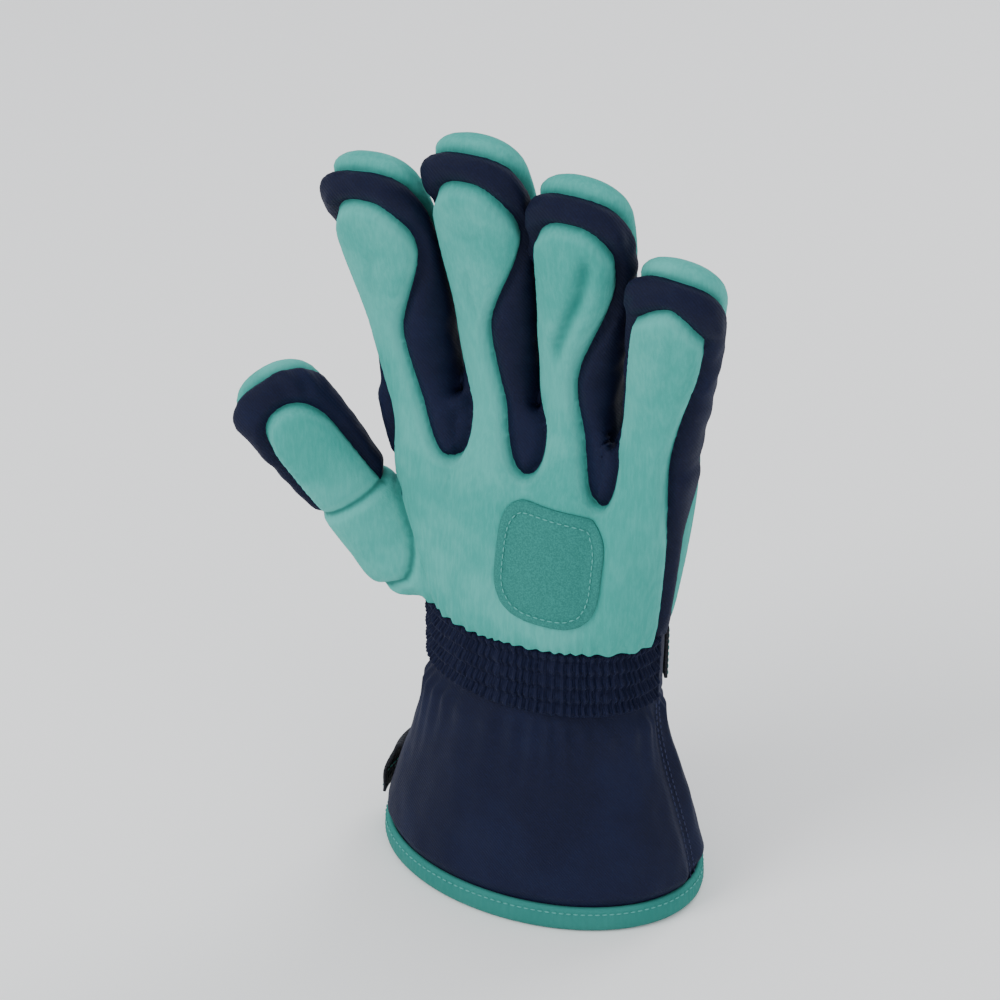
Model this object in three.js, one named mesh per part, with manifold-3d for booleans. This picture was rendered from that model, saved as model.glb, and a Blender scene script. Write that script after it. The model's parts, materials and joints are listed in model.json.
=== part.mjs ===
// A padded ski glove for the left hand. It stands on its cuff with its fingers up: +Z runs up the glove, the palm
// faces -Y, the thumb is on the -X side, and the origin is on the ground below the middle of the glove's outline.
// Every digit is a box of four cloth panels, front, back and two gussets that meet over its tip, round an
// insulation sleeve and a fleece lining. Millimetres throughout; angles are in degrees until they are used.
import * as THREE from "three";
import { mergeVertices } from "three/addons/utils/BufferGeometryUtils.js";
import Module from "manifold-3d";

const wasm = await Module();
wasm.setup();

// ---- Driving dimensions -------------------------------------------------------------------------------------

// Plies of cloth, from the outside in.
const SHELL = 1.4;
const PADDING = 2.4;
const LINING = 0.8;
const PLY_GAP = 0.3; // between plies that lie on each other
const SEAM_GAP = 0.4; // between panels sewn edge to edge
const SEAM_ANGLE = 0.3; // degrees from a side seam to the edge of a panel of the cuff or wrist

// Cuff and wrist: half-sizes across (x) and through (y) of each level's oval.
const CUFF_HEM = { x: 62, y: 42 };
const WRIST = { x: 45, y: 29 };
const CUFF_HEIGHT = 84;
const WRIST_HEIGHT = 28;
const HEM_TAPE_HEIGHT = 9;
const HEM_TAPE_PROUD = 0.6;

// Palm.
const PALM_HEIGHT = 86; // from the top of the wrist to the middle finger's root
const FINGER_PITCH = 29.5; // between the roots of neighbouring fingers
const PALM_CUP = 5; // how far the outer fingers' roots stand in front of the middle of the row
const PALM_BULGE = 5; // how far the palm and the back swell out half way up
const SIDE_ARC = 17; // half of the side panels' share of the wrist oval, in degrees

// Digits. lean tips a digit sideways, away from the middle finger; turn turns its front outwards, so that bent
// fingers stay side by side; rise is its root's height beside the middle finger's; length runs from root to tip.
const DIGIT_EDGE = { root: 9.5, tip: 6.4 }; // half-width of the gusset strip
const DIGIT_CROWN = 4.2; // how far a front or back panel swells beyond its edges
const TIP_POWER = 2.4; // 2 makes a round tip, and more makes it squarer
const CURL = 27;
const BEND_MIN = -10;
const ROOT_CLEARANCE = 1.5; // degrees more than the back-bend that the root is cut back
const CROWN_POWER = 2.2; // how flat a panel's swell is in its middle
const ROOT_GAP = { hand: 0.8, digit: 0.15 }; // each side of the hinge line
const FINGERS = [
  { name: "index", turn: -4, slot: -1.5, rise: -4, length: 92, rootWidth: 27, tipWidth: 30.5, lean: -7.5 },
  { name: "middle", turn: -1.2, slot: -0.5, rise: 0, length: 100, rootWidth: 27, tipWidth: 31, lean: -2 },
  { name: "ring", turn: 1.6, slot: 0.5, rise: -3, length: 95, rootWidth: 27, tipWidth: 30.5, lean: 3 },
  { name: "little", turn: 5, slot: 1.5, rise: -11, length: 82, rootWidth: 25, tipWidth: 28, lean: 8.5 },
];
const THUMB = { name: "thumb", length: 62, rootWidth: 29, tipWidth: 31, curl: 18 };
const THUMB_ROOT = { x: -47.2 - 0.4 * FINGER_PITCH, y: -26, z: 147 }; // further out on a wider hand
const THUMB_TURN = { lean: -32, forward: 12, yaw: 34 };
const THUMB_BASE_REACH = 0.62; // how far its sleeve runs back along the hand, as a share of the thumb's length
const THUMB_HOLE = { inset: 5, reach: 0.5 }; // the way from the hand into it

// Pads sewn on the outside.
const PATCH_THICKNESS = 1.6;
const KNUCKLE_PAD_THICKNESS = 4;
const PAD_GAP = 0.8; // under them

// Wrist strap on the back of the wrist. It runs from the little-finger side to a ring on the thumb side, and folds
// back on itself.
const STRAP_WIDTH = 22;
const STRAP_THICKNESS = 1.4;
const FASTENER_THICKNESS = 1.4; // hook or loop tape
const STRAP_START = 18; // angles round the wrist oval, from +X towards +Y
const STRAP_RING = 128;
const WEBBING_STOP = 13.5; // degrees between the ring's middle and the end of the webbing below the tab
const TAB_STOP = 9; // and the end of the tab
const LOOP_SPAN = { fromTab: 4, toRing: 22 }; // degrees that the loop tape leaves free at each end
const HOOK_SPAN = { fromTab: 6, toRing: 24 };
const ANCHOR_START = 4;
const STRAP_ANCHOR_END = 150;
const TAB_END = 52;
const RING_BAR = 2.2;
const RING_LENGTH = 14; // along the strap
const RING_CLEARANCE = 1; // above and below the strap
const FOLD_GAP = 0.3; // round the ring's bar
const PULL_THICKNESS = 1.2;
const PULL_LENGTH = 14; // degrees of the tab that the rubber pull covers
const PULL_OVERHANG = 2; // degrees that it reaches beyond the tab's end

// Trim on the cuff.
const PULL_TAB = { width: 16, height: 24, thickness: 2.4, above: 12 };
const LABEL = { width: 24, height: 15, thickness: 0.6, below: 24 };

// ---- Shaping ------------------------------------------------------------------------------------------------

const radians = THREE.MathUtils.degToRad;
const lerp = THREE.MathUtils.lerp;
const smooth = THREE.MathUtils.smoothstep;
const CUFF_TOP = CUFF_HEIGHT;
const WRIST_TOP = CUFF_HEIGHT + WRIST_HEIGHT;
const SIDE_SHARE = 0.7; // of a digit's outline is its side, and the rest is the tip's arc
const PANEL_TOP = 0.95; // share of the outline at which the front and back panels end
const BAG_RINGS = [0, 0.18, 0.36, 0.53, SIDE_SHARE, 0.82, 0.93]; // shares of the outline
const BAG_SIDES = 12;
const BAG_ROUNDNESS = 0.84; // 1 makes an oval section, and less makes it squarer
const BAG_TIP_POWER = 0.6; // how fast a bag thins round the tip
const SLEEVE_SIDES = 28;
const STUB_STOPS = [-1, -0.5, 0, 0.5, 1];

// The same geometry with its faces pointing out, whatever the bend did to them.
function facingOut(geometry) {
  const p = geometry.getAttribute("position");
  const index = geometry.index.array;
  const [a, b, c] = [new THREE.Vector3(), new THREE.Vector3(), new THREE.Vector3()];
  let volume = 0;
  for (let i = 0; i < index.length; i += 3) {
    [a, b, c].forEach((corner, k) => corner.fromBufferAttribute(p, index[i + k]));
    volume += a.dot(b.cross(c));
  }
  if (volume < 0) for (let i = 0; i < index.length; i += 3) [index[i], index[i + 1]] = [index[i + 1], index[i]];
  geometry.computeVertexNormals();
  return geometry;
}

// Moves each corner of a geometry to where place(x, y, z) says.
function bend(geometry, place) {
  const p = geometry.getAttribute("position");
  for (let i = 0; i < p.count; i++) p.setXYZ(i, ...place(p.getX(i), p.getY(i), p.getZ(i)));
  return facingOut(geometry);
}

// A panel of cloth, made where place(across, along, depth) says, with each of the three running from 0 to 1 and
// depth 0 on the outside. Its two faces are cut into triangles the same way, so that stacked plies stay parallel.
function panel(acrossSteps, alongSteps, place) {
  const columns = acrossSteps + 1;
  const layer = columns * (alongSteps + 1);
  const points = [];
  const index = [];
  const quad = (a, b, c, d) => index.push(a, b, c, a, c, d);
  for (const depth of [0, 1])
    for (let j = 0; j <= alongSteps; j++)
      for (let i = 0; i <= acrossSteps; i++) points.push(...place(i / acrossSteps, j / alongSteps, depth));
  for (let j = 0; j < alongSteps; j++)
    for (let i = 0; i < acrossSteps; i++) {
      const [a, b, c, d] = [0, 1, columns + 1, columns].map((step) => j * columns + i + step);
      quad(a, b, c, d);
      index.push(layer + a, layer + c, layer + b, layer + a, layer + d, layer + c);
    }
  const wall = (a, b) => quad(b, a, layer + a, layer + b);
  for (let i = 0; i < acrossSteps; i++) {
    wall(i, i + 1);
    wall(layer - 1 - i, layer - 2 - i);
  }
  for (let j = 0; j < alongSteps; j++) {
    wall(j * columns + acrossSteps, (j + 1) * columns + acrossSteps);
    wall((j + 1) * columns, j * columns);
  }
  const position = new THREE.BufferAttribute(new Float32Array(points), 3);
  const geometry = new THREE.BufferGeometry().setAttribute("position", position);
  return facingOut(geometry.setIndex(index));
}

function solid(geometry) {
  const bare = new THREE.BufferGeometry().setAttribute("position", geometry.getAttribute("position").clone());
  const merged = mergeVertices(bare.setIndex(geometry.index), 1e-3);
  const vertProperties = merged.getAttribute("position").array;
  const triVerts = new Uint32Array(merged.index.array);
  return new wasm.Manifold(new wasm.Mesh({ numProp: 3, vertProperties, triVerts }));
}

function geometryOf(manifold) {
  const mesh = manifold.getMesh();
  const position = new THREE.BufferAttribute(new Float32Array(mesh.vertProperties), 3);
  const geometry = new THREE.BufferGeometry().setAttribute("position", position);
  geometry.setIndex(new THREE.BufferAttribute(mesh.triVerts, 1)).computeVertexNormals();
  return geometry;
}

// ---- Cuff and wrist: one oval sleeve ------------------------------------------------------------------------

// A point of the sleeve at an angle from +X towards +Y, at a height, and an inset in from its outside.
function sleeve(angle, z, inset) {
  const flare = 1 - smooth(z, 0, CUFF_TOP);
  const x = lerp(WRIST.x, CUFF_HEM.x, flare) - inset;
  const y = lerp(WRIST.y, CUFF_HEM.y, flare) - inset;
  return new THREE.Vector3(x * Math.cos(radians(angle)), y * Math.sin(radians(angle)), z);
}

// A ply of the sleeve between two angles, two heights and two insets.
function sleevePly(angles, heights, insets, acrossSteps = 12, alongSteps = 3) {
  return panel(acrossSteps, alongSteps, (across, along, depth) =>
    sleeve(lerp(...angles, across), lerp(...heights, along), lerp(...insets, depth)),
  );
}

// ---- Digits -------------------------------------------------------------------------------------------------

// A digit's own frame has its hinge line along X through the origin, in the middle of the front panel's cloth,
// with Y towards the back and Z up the digit.
class Digit {
  constructor({ name, length, rootWidth, tipWidth, curl = CURL }, place) {
    Object.assign(this, { name, length, rootWidth, tipWidth, place, curl: radians(curl) });
    this.front = DIGIT_EDGE.root + DIGIT_CROWN - SHELL / 2; // from the hinge line to the middle
  }

  // Distance along and half-width at share q of the outline, up the side and round the tip to its middle.
  outline(q, inset) {
    const tip = this.tipWidth / 2 - inset;
    const side = this.length - this.tipWidth / 2;
    if (q <= SIDE_SHARE) {
      const t = q / SIDE_SHARE;
      return { along: t * side, half: lerp(this.rootWidth / 2, this.tipWidth / 2, smooth(t, 0, 1)) - inset };
    }
    const angle = (((q - SIDE_SHARE) / (1 - SIDE_SHARE)) * Math.PI) / 2;
    const [rise, run] = [Math.sin(angle), Math.max(0, Math.cos(angle))].map((v) => v ** (2 / TIP_POWER));
    return { along: side + tip * rise, half: tip * run };
  }

  edge(along) {
    return lerp(DIGIT_EDGE.root, DIGIT_EDGE.tip, (along / this.length) ** 2);
  }

  crown(along) {
    return DIGIT_CROWN * (1 - Math.max(0, along / this.length) ** 5);
  }

  // Height of the front or back panel's outside over the digit's middle, at share a of its half-width.
  swell(a, along) {
    return this.edge(along) + this.crown(along) * (1 - Math.abs(a) ** CROWN_POWER);
  }

  // A point of the curled digit. The root is cut back behind the hinge line, so that the digit can bend back.
  at(x, y, along) {
    const lift = ROOT_GAP.digit + Math.max(0, y + this.front) * Math.tan(radians(ROOT_CLEARANCE - BEND_MIN));
    const s = along + lift * (1 - along / this.length);
    const turn = (this.curl * s) / this.length;
    const radius = this.length / this.curl;
    const point = new THREE.Vector3(
      x,
      this.front - radius * (1 - Math.cos(turn)) + y * Math.cos(turn),
      radius * Math.sin(turn) + y * Math.sin(turn),
    );
    return point.applyMatrix4(this.place);
  }

  // The front (side -1) or back (side 1) panel, from the root to the top of the tip's arc.
  facePanel(side) {
    return panel(6, 9, (across, up, depth) => {
      const { along, half } = this.outline(up * PANEL_TOP, 0);
      const a = 2 * across - 1;
      return this.at(a * half, side * (this.swell(a, along) - depth * SHELL), along);
    });
  }

  // Half of the gusset strip, on the -X (side -1) or +X (side 1) side, up to the middle of the tip.
  gusset(side) {
    return panel(2, 11, (across, up, depth) => {
      const { along, half } = this.outline(up, depth * SHELL);
      const reach = this.edge(along) - SHELL - SEAM_GAP;
      return this.at(side * Math.max(half, SEAM_GAP / 2), (2 * across - 1) * reach, along);
    });
  }

  // A solid bag that fills the digit inside an inset. It reaches below the root by a share of the length.
  bag(inset, below = 0) {
    const profile = [new THREE.Vector2(0, -below)];
    if (below > 0) profile.push(new THREE.Vector2(1, -below));
    for (const q of BAG_RINGS) profile.push(new THREE.Vector2(1, q));
    profile.push(new THREE.Vector2(0, 1));
    const lathe = new THREE.LatheGeometry(profile, BAG_SIDES);
    return bend(lathe, (x, height, z) => {
      const share = Math.hypot(x, z);
      const q = Math.max(0, height);
      const { along, half } = this.outline(q, inset);
      const full = q > SIDE_SHARE ? this.tipWidth / 2 - inset : half;
      const depth = (this.edge(along) + this.crown(along) - inset) * (half / full) ** BAG_TIP_POWER;
      const angle = Math.atan2(z, x);
      const round = (v) => Math.sign(v) * Math.abs(v) ** BAG_ROUNDNESS;
      const start = along + Math.min(0, height) * this.length;
      return this.at(share * half * round(Math.cos(angle)), share * depth * round(Math.sin(angle)), start);
    });
  }

  // A straight prism of the root's section inside an inset, from the root, or above it, back by a share of the length.
  stub(inset, reach, above = 0) {
    const half = this.rootWidth / 2 - inset;
    const face = (side) =>
      STUB_STOPS.map((a) => new THREE.Vector2(-side * a * half, side * (this.swell(a, 0) - inset)));
    const shape = new THREE.Shape([...face(-1), ...face(1)]);
    const depth = reach * this.length;
    const prism = new THREE.ExtrudeGeometry(shape, { depth: depth + above, bevelEnabled: false });
    return prism.translate(0, this.front, -ROOT_GAP.hand - depth).applyMatrix4(this.place);
  }

  // A sleeve with a closed tip, between two insets.
  sleeve(outer, inner) {
    return geometryOf(solid(this.bag(outer)).subtract(solid(this.bag(inner, 0.08))));
  }
}

const middleRoot = WRIST_TOP + PALM_HEIGHT;
const rowHalf = 1.5 * FINGER_PITCH;

const fingers = FINGERS.map((finger) => {
  const x = finger.slot * FINGER_PITCH;
  const middle = -PALM_CUP * (x / rowHalf) ** 2;
  const place = new THREE.Matrix4()
    .makeTranslation(x, middle - DIGIT_EDGE.root - DIGIT_CROWN + SHELL / 2, middleRoot + finger.rise)
    .multiply(new THREE.Matrix4().makeRotationZ(radians(finger.turn)))
    .multiply(new THREE.Matrix4().makeRotationY(radians(finger.lean)));
  return new Digit(finger, place);
});

const thumb = new Digit(
  THUMB,
  new THREE.Matrix4()
    .makeTranslation(THUMB_ROOT.x, THUMB_ROOT.y, THUMB_ROOT.z)
    .multiply(new THREE.Matrix4().makeRotationX(radians(THUMB_TURN.forward)))
    .multiply(new THREE.Matrix4().makeRotationY(radians(THUMB_TURN.lean)))
    .multiply(new THREE.Matrix4().makeRotationZ(radians(THUMB_TURN.yaw))),
);

// ---- Hand: lofted from the wrist oval to the fingers' roots -------------------------------------------------

// Every ply of the palm and the back has an edge at each of these stops of each finger's root, so plies stay parallel.
const FACE_STOPS = [-1, 0, 1];
const ROW_STOPS = FACE_STOPS.length * FINGERS.length - 1;
const HAND_STEPS = 4;

// A point of the fingers' root line, just below the hinges, at a stop of the row.
function rootLine(side, stop, inset) {
  const i = Math.round(stop);
  const finger = fingers[Math.floor(i / FACE_STOPS.length)];
  const a = FACE_STOPS[i % FACE_STOPS.length];
  const trim = i === 0 || i === ROW_STOPS ? inset : 0;
  const y = finger.front + side * (finger.swell(a, 0) - inset);
  return new THREE.Vector3(a * (finger.rootWidth / 2 - trim), y, -ROOT_GAP.hand).applyMatrix4(finger.place);
}

// The palm (side -1) or the back (side 1) of the hand, at a stop across it and a share t up it.
function handFace(side, stop, t, inset) {
  const start = side < 0 ? 180 + SIDE_ARC : 180 - SIDE_ARC;
  const turn = side < 0 ? 180 - 2 * SIDE_ARC : 2 * SIDE_ARC - 180;
  const u = stop / ROW_STOPS;
  const point = sleeve(start + u * turn, WRIST_TOP + SEAM_GAP, inset).lerp(rootLine(side, stop, inset), t);
  point.y += side * PALM_BULGE * Math.sin(Math.PI * t) * Math.sqrt(Math.sin(Math.PI * u));
  return point;
}

// A ply of the palm or the back between two stops across, two shares up and two insets.
function handPly(side, insets, stops = [0, ROW_STOPS], up = [0, 1], upSteps = HAND_STEPS) {
  return panel(stops[1] - stops[0], upSteps, (x, y, depth) =>
    handFace(side, lerp(...stops, x), lerp(...up, y), lerp(...insets, depth)),
  );
}

// The whole inside of the hand, out to a distance beyond its outside.
function handCore(out) {
  const around = 2 * (ROW_STOPS + 1);
  const levels = Array.from({ length: HAND_STEPS + 1 }, (_, i) => new THREE.Vector2(1, i / HAND_STEPS));
  const lathe = new THREE.LatheGeometry([new THREE.Vector2(0, 0), ...levels, new THREE.Vector2(0, 1)], around);
  const middle = Math.floor(ROW_STOPS / 2);
  return bend(lathe, (x, t, z) => {
    if (Math.hypot(x, z) < 0.5) return handFace(-1, middle, t, 0).lerp(handFace(1, middle, t, 0), 0.5);
    const turn = Math.round((Math.atan2(x, z) / (2 * Math.PI)) * around + around) % around;
    return turn <= ROW_STOPS ? handFace(-1, turn, t, -out) : handFace(1, around - 1 - turn, t, -out);
  });
}

// The whole inside of the sleeve between two heights, out to a distance beyond its outside.
function sleeveCore(heights, out) {
  const corners = [[0, 0], [1, 0], [1, 1], [0, 1]];
  const lathe = new THREE.LatheGeometry(corners.map((p) => new THREE.Vector2(...p)), SLEEVE_SIDES);
  return bend(lathe, (x, t, z) => {
    const rim = sleeve((Math.atan2(z, x) * 180) / Math.PI, lerp(...heights, t), -out);
    return new THREE.Vector3(rim.x * Math.hypot(x, z), rim.y * Math.hypot(x, z), rim.z);
  });
}

// The hand's side panel on the thumb side (side -1) or the little-finger side (side 1), between two shares up.
function handSide(side, up) {
  const finger = side < 0 ? fingers[0] : fingers[3];
  return panel(3, 4, (across, y, depth) => {
    const inset = depth * SHELL;
    const b = 2 * across - 1;
    const middle = side < 0 ? 180 : 0;
    const arc = (SIDE_ARC - 3) * b * -side;
    const low = sleeve(middle - arc, WRIST_TOP + SEAM_GAP, inset);
    const reach = finger.edge(0) - SHELL - SEAM_GAP;
    const out = side * (finger.rootWidth / 2 - inset);
    const high = new THREE.Vector3(out, finger.front + b * reach, -ROOT_GAP.hand).applyMatrix4(finger.place);
    return low.lerp(high, lerp(...up, y));
  });
}

// ---- Materials ----------------------------------------------------------------------------------------------

function cloth(color, roughness = 0.85) {
  return new THREE.MeshStandardMaterial({ color, roughness, metalness: 0 });
}

const teal = cloth(0x5aa79b);
const navy = cloth(0x10183a);
const tealPatch = cloth(0x3f8f86, 0.75);
const wadding = cloth(0xe4e2da, 0.95);
const fleece = cloth(0x1d2740, 0.95);
const elastic = cloth(0x0c1024, 0.8);
const webbing = cloth(0x14161f, 0.7);
const hookTape = cloth(0x090a0d, 0.9);
const rubber = cloth(0x2f7f78, 0.55);
const ringPlastic = cloth(0x08090b, 0.4);
const labelCloth = cloth(0xd9d9d4, 0.8);

// ---- Assembly -----------------------------------------------------------------------------------------------

const glove = new THREE.Group();

function add(name, geometry, material) {
  const mesh = new THREE.Mesh(geometry, material);
  mesh.name = name;
  glove.add(mesh);
}

const PADDING_INSET = SHELL + PLY_GAP;
const LINING_INSET = PADDING_INSET + PADDING + PLY_GAP;
const INSIDE = LINING_INSET + LINING;

for (const digit of [...fingers, thumb]) {
  add(`${digit.name}_front_panel`, digit.facePanel(-1), teal);
  add(`${digit.name}_back_panel`, digit.facePanel(1), teal);
  add(`${digit.name}_inner_gusset`, digit.gusset(-1), navy);
  add(`${digit.name}_outer_gusset`, digit.gusset(1), navy);
  add(`${digit.name}_insulation`, digit.sleeve(PADDING_INSET, PADDING_INSET + PADDING), wadding);
  add(`${digit.name}_lining`, digit.sleeve(LINING_INSET, INSIDE), fleece);
}

// The thumb stands on a sleeve that the hand holds, which ends on the palm round the hole into the hand.
const inHand = solid(handCore(PLY_GAP)).add(solid(sleeveCore([CUFF_HEIGHT / 2, WRIST_TOP + 1], PLY_GAP)));
const thumbBase = solid(thumb.stub(0, THUMB_BASE_REACH))
  .subtract(solid(thumb.stub(SHELL, THUMB_BASE_REACH + 0.1, 1)))
  .subtract(inHand);
add("thumb_base_panel", geometryOf(thumbBase), teal);
const thumbHole = solid(thumb.stub(THUMB_HOLE.inset, THUMB_HOLE.reach, 1));
const holed = (geometry) => geometryOf(solid(geometry).subtract(thumbHole));

const paddingPly = [PADDING_INSET, PADDING_INSET + PADDING];
const liningPly = [LINING_INSET, INSIDE];
add("palm_panel", holed(handPly(-1, [0, SHELL])), teal);
add("palm_insulation", holed(handPly(-1, paddingPly)), wadding);
add("palm_lining", holed(handPly(-1, liningPly)), fleece);
add("hand_back_panel", handPly(1, [0, SHELL]), teal);
add("hand_back_insulation", handPly(1, paddingPly), wadding);
add("hand_back_lining", handPly(1, liningPly), fleece);
add("little_side_panel", handSide(1, [0, 1]), navy);
const roundThumb = solid(thumb.stub(-PLY_GAP, THUMB_BASE_REACH));
add("index_side_panel", geometryOf(solid(handSide(-1, [0.5, 1])).subtract(roundThumb)), navy);

const sewnOn = (thickness) => [-PAD_GAP - thickness, -PAD_GAP];
add("palm_patch", handPly(-1, sewnOn(PATCH_THICKNESS), [5, 10], [0.25, 0.75], 2), tealPatch);
add("knuckle_pad", handPly(1, sewnOn(KNUCKLE_PAD_THICKNESS), [1, 10], [0.75, 0.96], 1), navy);

// Cuff.
const HALVES = { palm: [180 + SEAM_ANGLE, 360 - SEAM_ANGLE], back: [SEAM_ANGLE, 180 - SEAM_ANGLE] };
for (const [half, angles] of Object.entries(HALVES)) {
  const body = [HEM_TAPE_HEIGHT + SEAM_GAP, CUFF_TOP];
  add(`cuff_${half}_panel`, sleevePly(angles, body, [0, SHELL]), navy);
  add(`cuff_${half}_lining`, sleevePly(angles, body, [PADDING_INSET, PADDING_INSET + PADDING]), fleece);
  const tape = [-HEM_TAPE_PROUD, PADDING_INSET + PADDING];
  add(`cuff_${half}_hem`, sleevePly(angles, [0, HEM_TAPE_HEIGHT], tape, 14, 1), teal);
}

// Wrist.
const wristLevels = [CUFF_TOP + SEAM_GAP, WRIST_TOP - SEAM_GAP / 2];
add("wrist_elastic", sleevePly(HALVES.palm, wristLevels, [0, SHELL + PADDING], 14, 1), elastic);
add("wrist_back_band", sleevePly(HALVES.back, wristLevels, [0, SHELL], 14, 1), navy);
add("wrist_back_padding", sleevePly(HALVES.back, wristLevels, paddingPly, 14, 1), wadding);

// Wrist strap.
const wristMiddle = (CUFF_TOP + WRIST_TOP) / 2;
const strapLevels = [wristMiddle - STRAP_WIDTH / 2, wristMiddle + STRAP_WIDTH / 2];
const strapLayer = (below, thickness) => [-below - thickness, -below];
const onWrist = PLY_GAP;
const onStrap = onWrist + STRAP_THICKNESS + PLY_GAP;
const underTab = onStrap + FASTENER_THICKNESS + PLY_GAP;
const tabBelow = underTab + FASTENER_THICKNESS + PLY_GAP;
const strip = (angles, layer, steps) => sleevePly(angles, strapLevels, layer, steps, 1);
const loopAngles = [TAB_END + LOOP_SPAN.fromTab, STRAP_RING - LOOP_SPAN.toRing];
const hookAngles = [TAB_END + HOOK_SPAN.fromTab, STRAP_RING - HOOK_SPAN.toRing];
const anchorAngles = [STRAP_RING + ANCHOR_START, STRAP_ANCHOR_END];
const pullLayer = strapLayer(tabBelow + STRAP_THICKNESS + PLY_GAP, PULL_THICKNESS);
const onWristLayer = strapLayer(onWrist, STRAP_THICKNESS);
add("strap_webbing", strip([STRAP_START, STRAP_RING - WEBBING_STOP], onWristLayer, 10), webbing);
add("strap_loop_pad", strip(loopAngles, strapLayer(onStrap, FASTENER_THICKNESS), 7), hookTape);
add("strap_hook_pad", strip(hookAngles, strapLayer(underTab, FASTENER_THICKNESS), 7), hookTape);
add("strap_tab", strip([TAB_END, STRAP_RING - TAB_STOP], strapLayer(tabBelow, STRAP_THICKNESS), 9), webbing);
add("strap_anchor", strip(anchorAngles, onWristLayer, 3), webbing);
add("strap_pull", strip([TAB_END - PULL_OVERHANG, TAB_END + PULL_LENGTH], pullLayer, 3), rubber);

// The ring stands on the wrist, upright, with its window facing out. In its own frame X runs along the strap away
// from the tab, Y up and Z out of the wrist.
const foldInner = RING_BAR * Math.SQRT1_2 + FOLD_GAP;
const foldOuter = foldInner + STRAP_THICKNESS;
const ringStandoff = onWrist + foldOuter - RING_BAR / 2;
const ringHigh = STRAP_WIDTH / 2 + RING_BAR + RING_CLEARANCE;
const rectangle = (x, y) => [[-x, -y], [x, -y], [x, y], [-x, y]].map((p) => new THREE.Vector2(...p));
const ringShape = new THREE.Shape(rectangle(RING_LENGTH / 2, ringHigh));
ringShape.holes.push(new THREE.Path(rectangle(RING_LENGTH / 2 - RING_BAR, ringHigh - RING_BAR)));
const ringFoot = sleeve(STRAP_RING, wristMiddle, -ringStandoff);
const ringOut = new THREE.Vector3(ringFoot.x / WRIST.x ** 2, ringFoot.y / WRIST.y ** 2, 0).normalize();
const up = new THREE.Vector3(0, 0, 1);
const ringFrame = new THREE.Matrix4().makeBasis(up.clone().cross(ringOut), up, ringOut).setPosition(ringFoot);
const ring = new THREE.ExtrudeGeometry(ringShape, { depth: RING_BAR, bevelEnabled: false });
add("strap_ring", ring.applyMatrix4(ringFrame), ringPlastic);

// The strap turns round the bar that the tab's hinge lies in.
const barAt = -(RING_LENGTH - RING_BAR) / 2;
const foldShape = new THREE.Shape();
foldShape.absarc(0, 0, foldOuter, -Math.PI / 2, Math.PI / 2, false);
foldShape.absarc(0, 0, foldInner, Math.PI / 2, -Math.PI / 2, true);
const foldCut = { depth: STRAP_WIDTH, bevelEnabled: false, curveSegments: 6 };
const fold = new THREE.ExtrudeGeometry(foldShape, foldCut);
fold.rotateX(-Math.PI / 2).translate(barAt, -STRAP_WIDTH / 2, RING_BAR / 2);
add("strap_fold", fold.applyMatrix4(ringFrame), webbing);

// Trim.
const tabAngle = 180;
add(
  "cuff_pull_tab",
  panel(3, 4, (across, up, depth) => {
    const spread = ((across - 0.5) * PULL_TAB.width) / CUFF_HEM.y;
    const z = PULL_TAB.above + up * PULL_TAB.height;
    return sleeve(tabAngle - (spread * 180) / Math.PI, z, -PLY_GAP - (1 - depth) * PULL_TAB.thickness);
  }),
  webbing,
);
add(
  "care_label",
  panel(3, 2, (across, up, depth) => {
    const spread = ((across - 0.5) * LABEL.width) / CUFF_HEM.x;
    const z = CUFF_TOP - LABEL.below - up * LABEL.height;
    const inset = PADDING_INSET + PADDING + PLY_GAP + depth * LABEL.thickness;
    return sleeve(90 + (spread * 180) / Math.PI, z, inset);
  }),
  labelCloth,
);

// The origin goes on the ground below the middle of the outline.
const box = new THREE.Box3().setFromObject(glove);
const middleOf = box.getCenter(new THREE.Vector3());
for (const mesh of glove.children) mesh.position.set(-middleOf.x, -middleOf.y, -box.min.z);

export default glove;
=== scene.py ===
"""A padded ski glove for the left hand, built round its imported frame.

The glove stands on its cuff with its fingers up, and its palm faces -Y. Its outside is one surface that runs up the
hand and over every finger, with the thumb as a second one. Seam lines are drawn on that surface and cut it into the
teal front and back panels and the navy gussets between them, and the cloth is then sunk at each seam and swollen
between the seams. All lengths in the code are metres unless a name says otherwise.
"""

import json
import math

import bmesh
import bpy
import numpy as np
from mathutils import Matrix, Vector, kdtree, noise
from mathutils.bvhtree import BVHTree


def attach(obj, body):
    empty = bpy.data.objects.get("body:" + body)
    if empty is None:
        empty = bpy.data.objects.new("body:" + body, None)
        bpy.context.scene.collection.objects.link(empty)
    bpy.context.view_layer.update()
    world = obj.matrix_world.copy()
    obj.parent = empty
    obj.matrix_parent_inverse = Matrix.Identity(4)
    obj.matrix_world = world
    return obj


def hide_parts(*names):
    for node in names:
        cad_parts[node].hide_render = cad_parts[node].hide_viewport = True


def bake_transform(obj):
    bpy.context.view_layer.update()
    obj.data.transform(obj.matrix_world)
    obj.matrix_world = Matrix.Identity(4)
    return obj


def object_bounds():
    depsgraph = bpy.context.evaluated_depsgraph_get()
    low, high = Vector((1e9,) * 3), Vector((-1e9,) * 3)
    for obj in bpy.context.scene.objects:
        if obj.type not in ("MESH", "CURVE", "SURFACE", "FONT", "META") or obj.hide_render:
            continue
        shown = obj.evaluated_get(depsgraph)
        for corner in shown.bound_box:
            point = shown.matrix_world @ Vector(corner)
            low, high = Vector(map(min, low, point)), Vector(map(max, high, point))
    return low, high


bl_info = {
    "name": "Padded Ski Glove",
    "version": (1, 0, 0),
    "blender": (4, 5, 0),
    "location": "3D View > Sidebar > Ski Glove",
    "description": "Builds a padded ski glove with box-cut fingers, a flared cuff and a wrist strap",
    "category": "Add Mesh",
}

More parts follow.
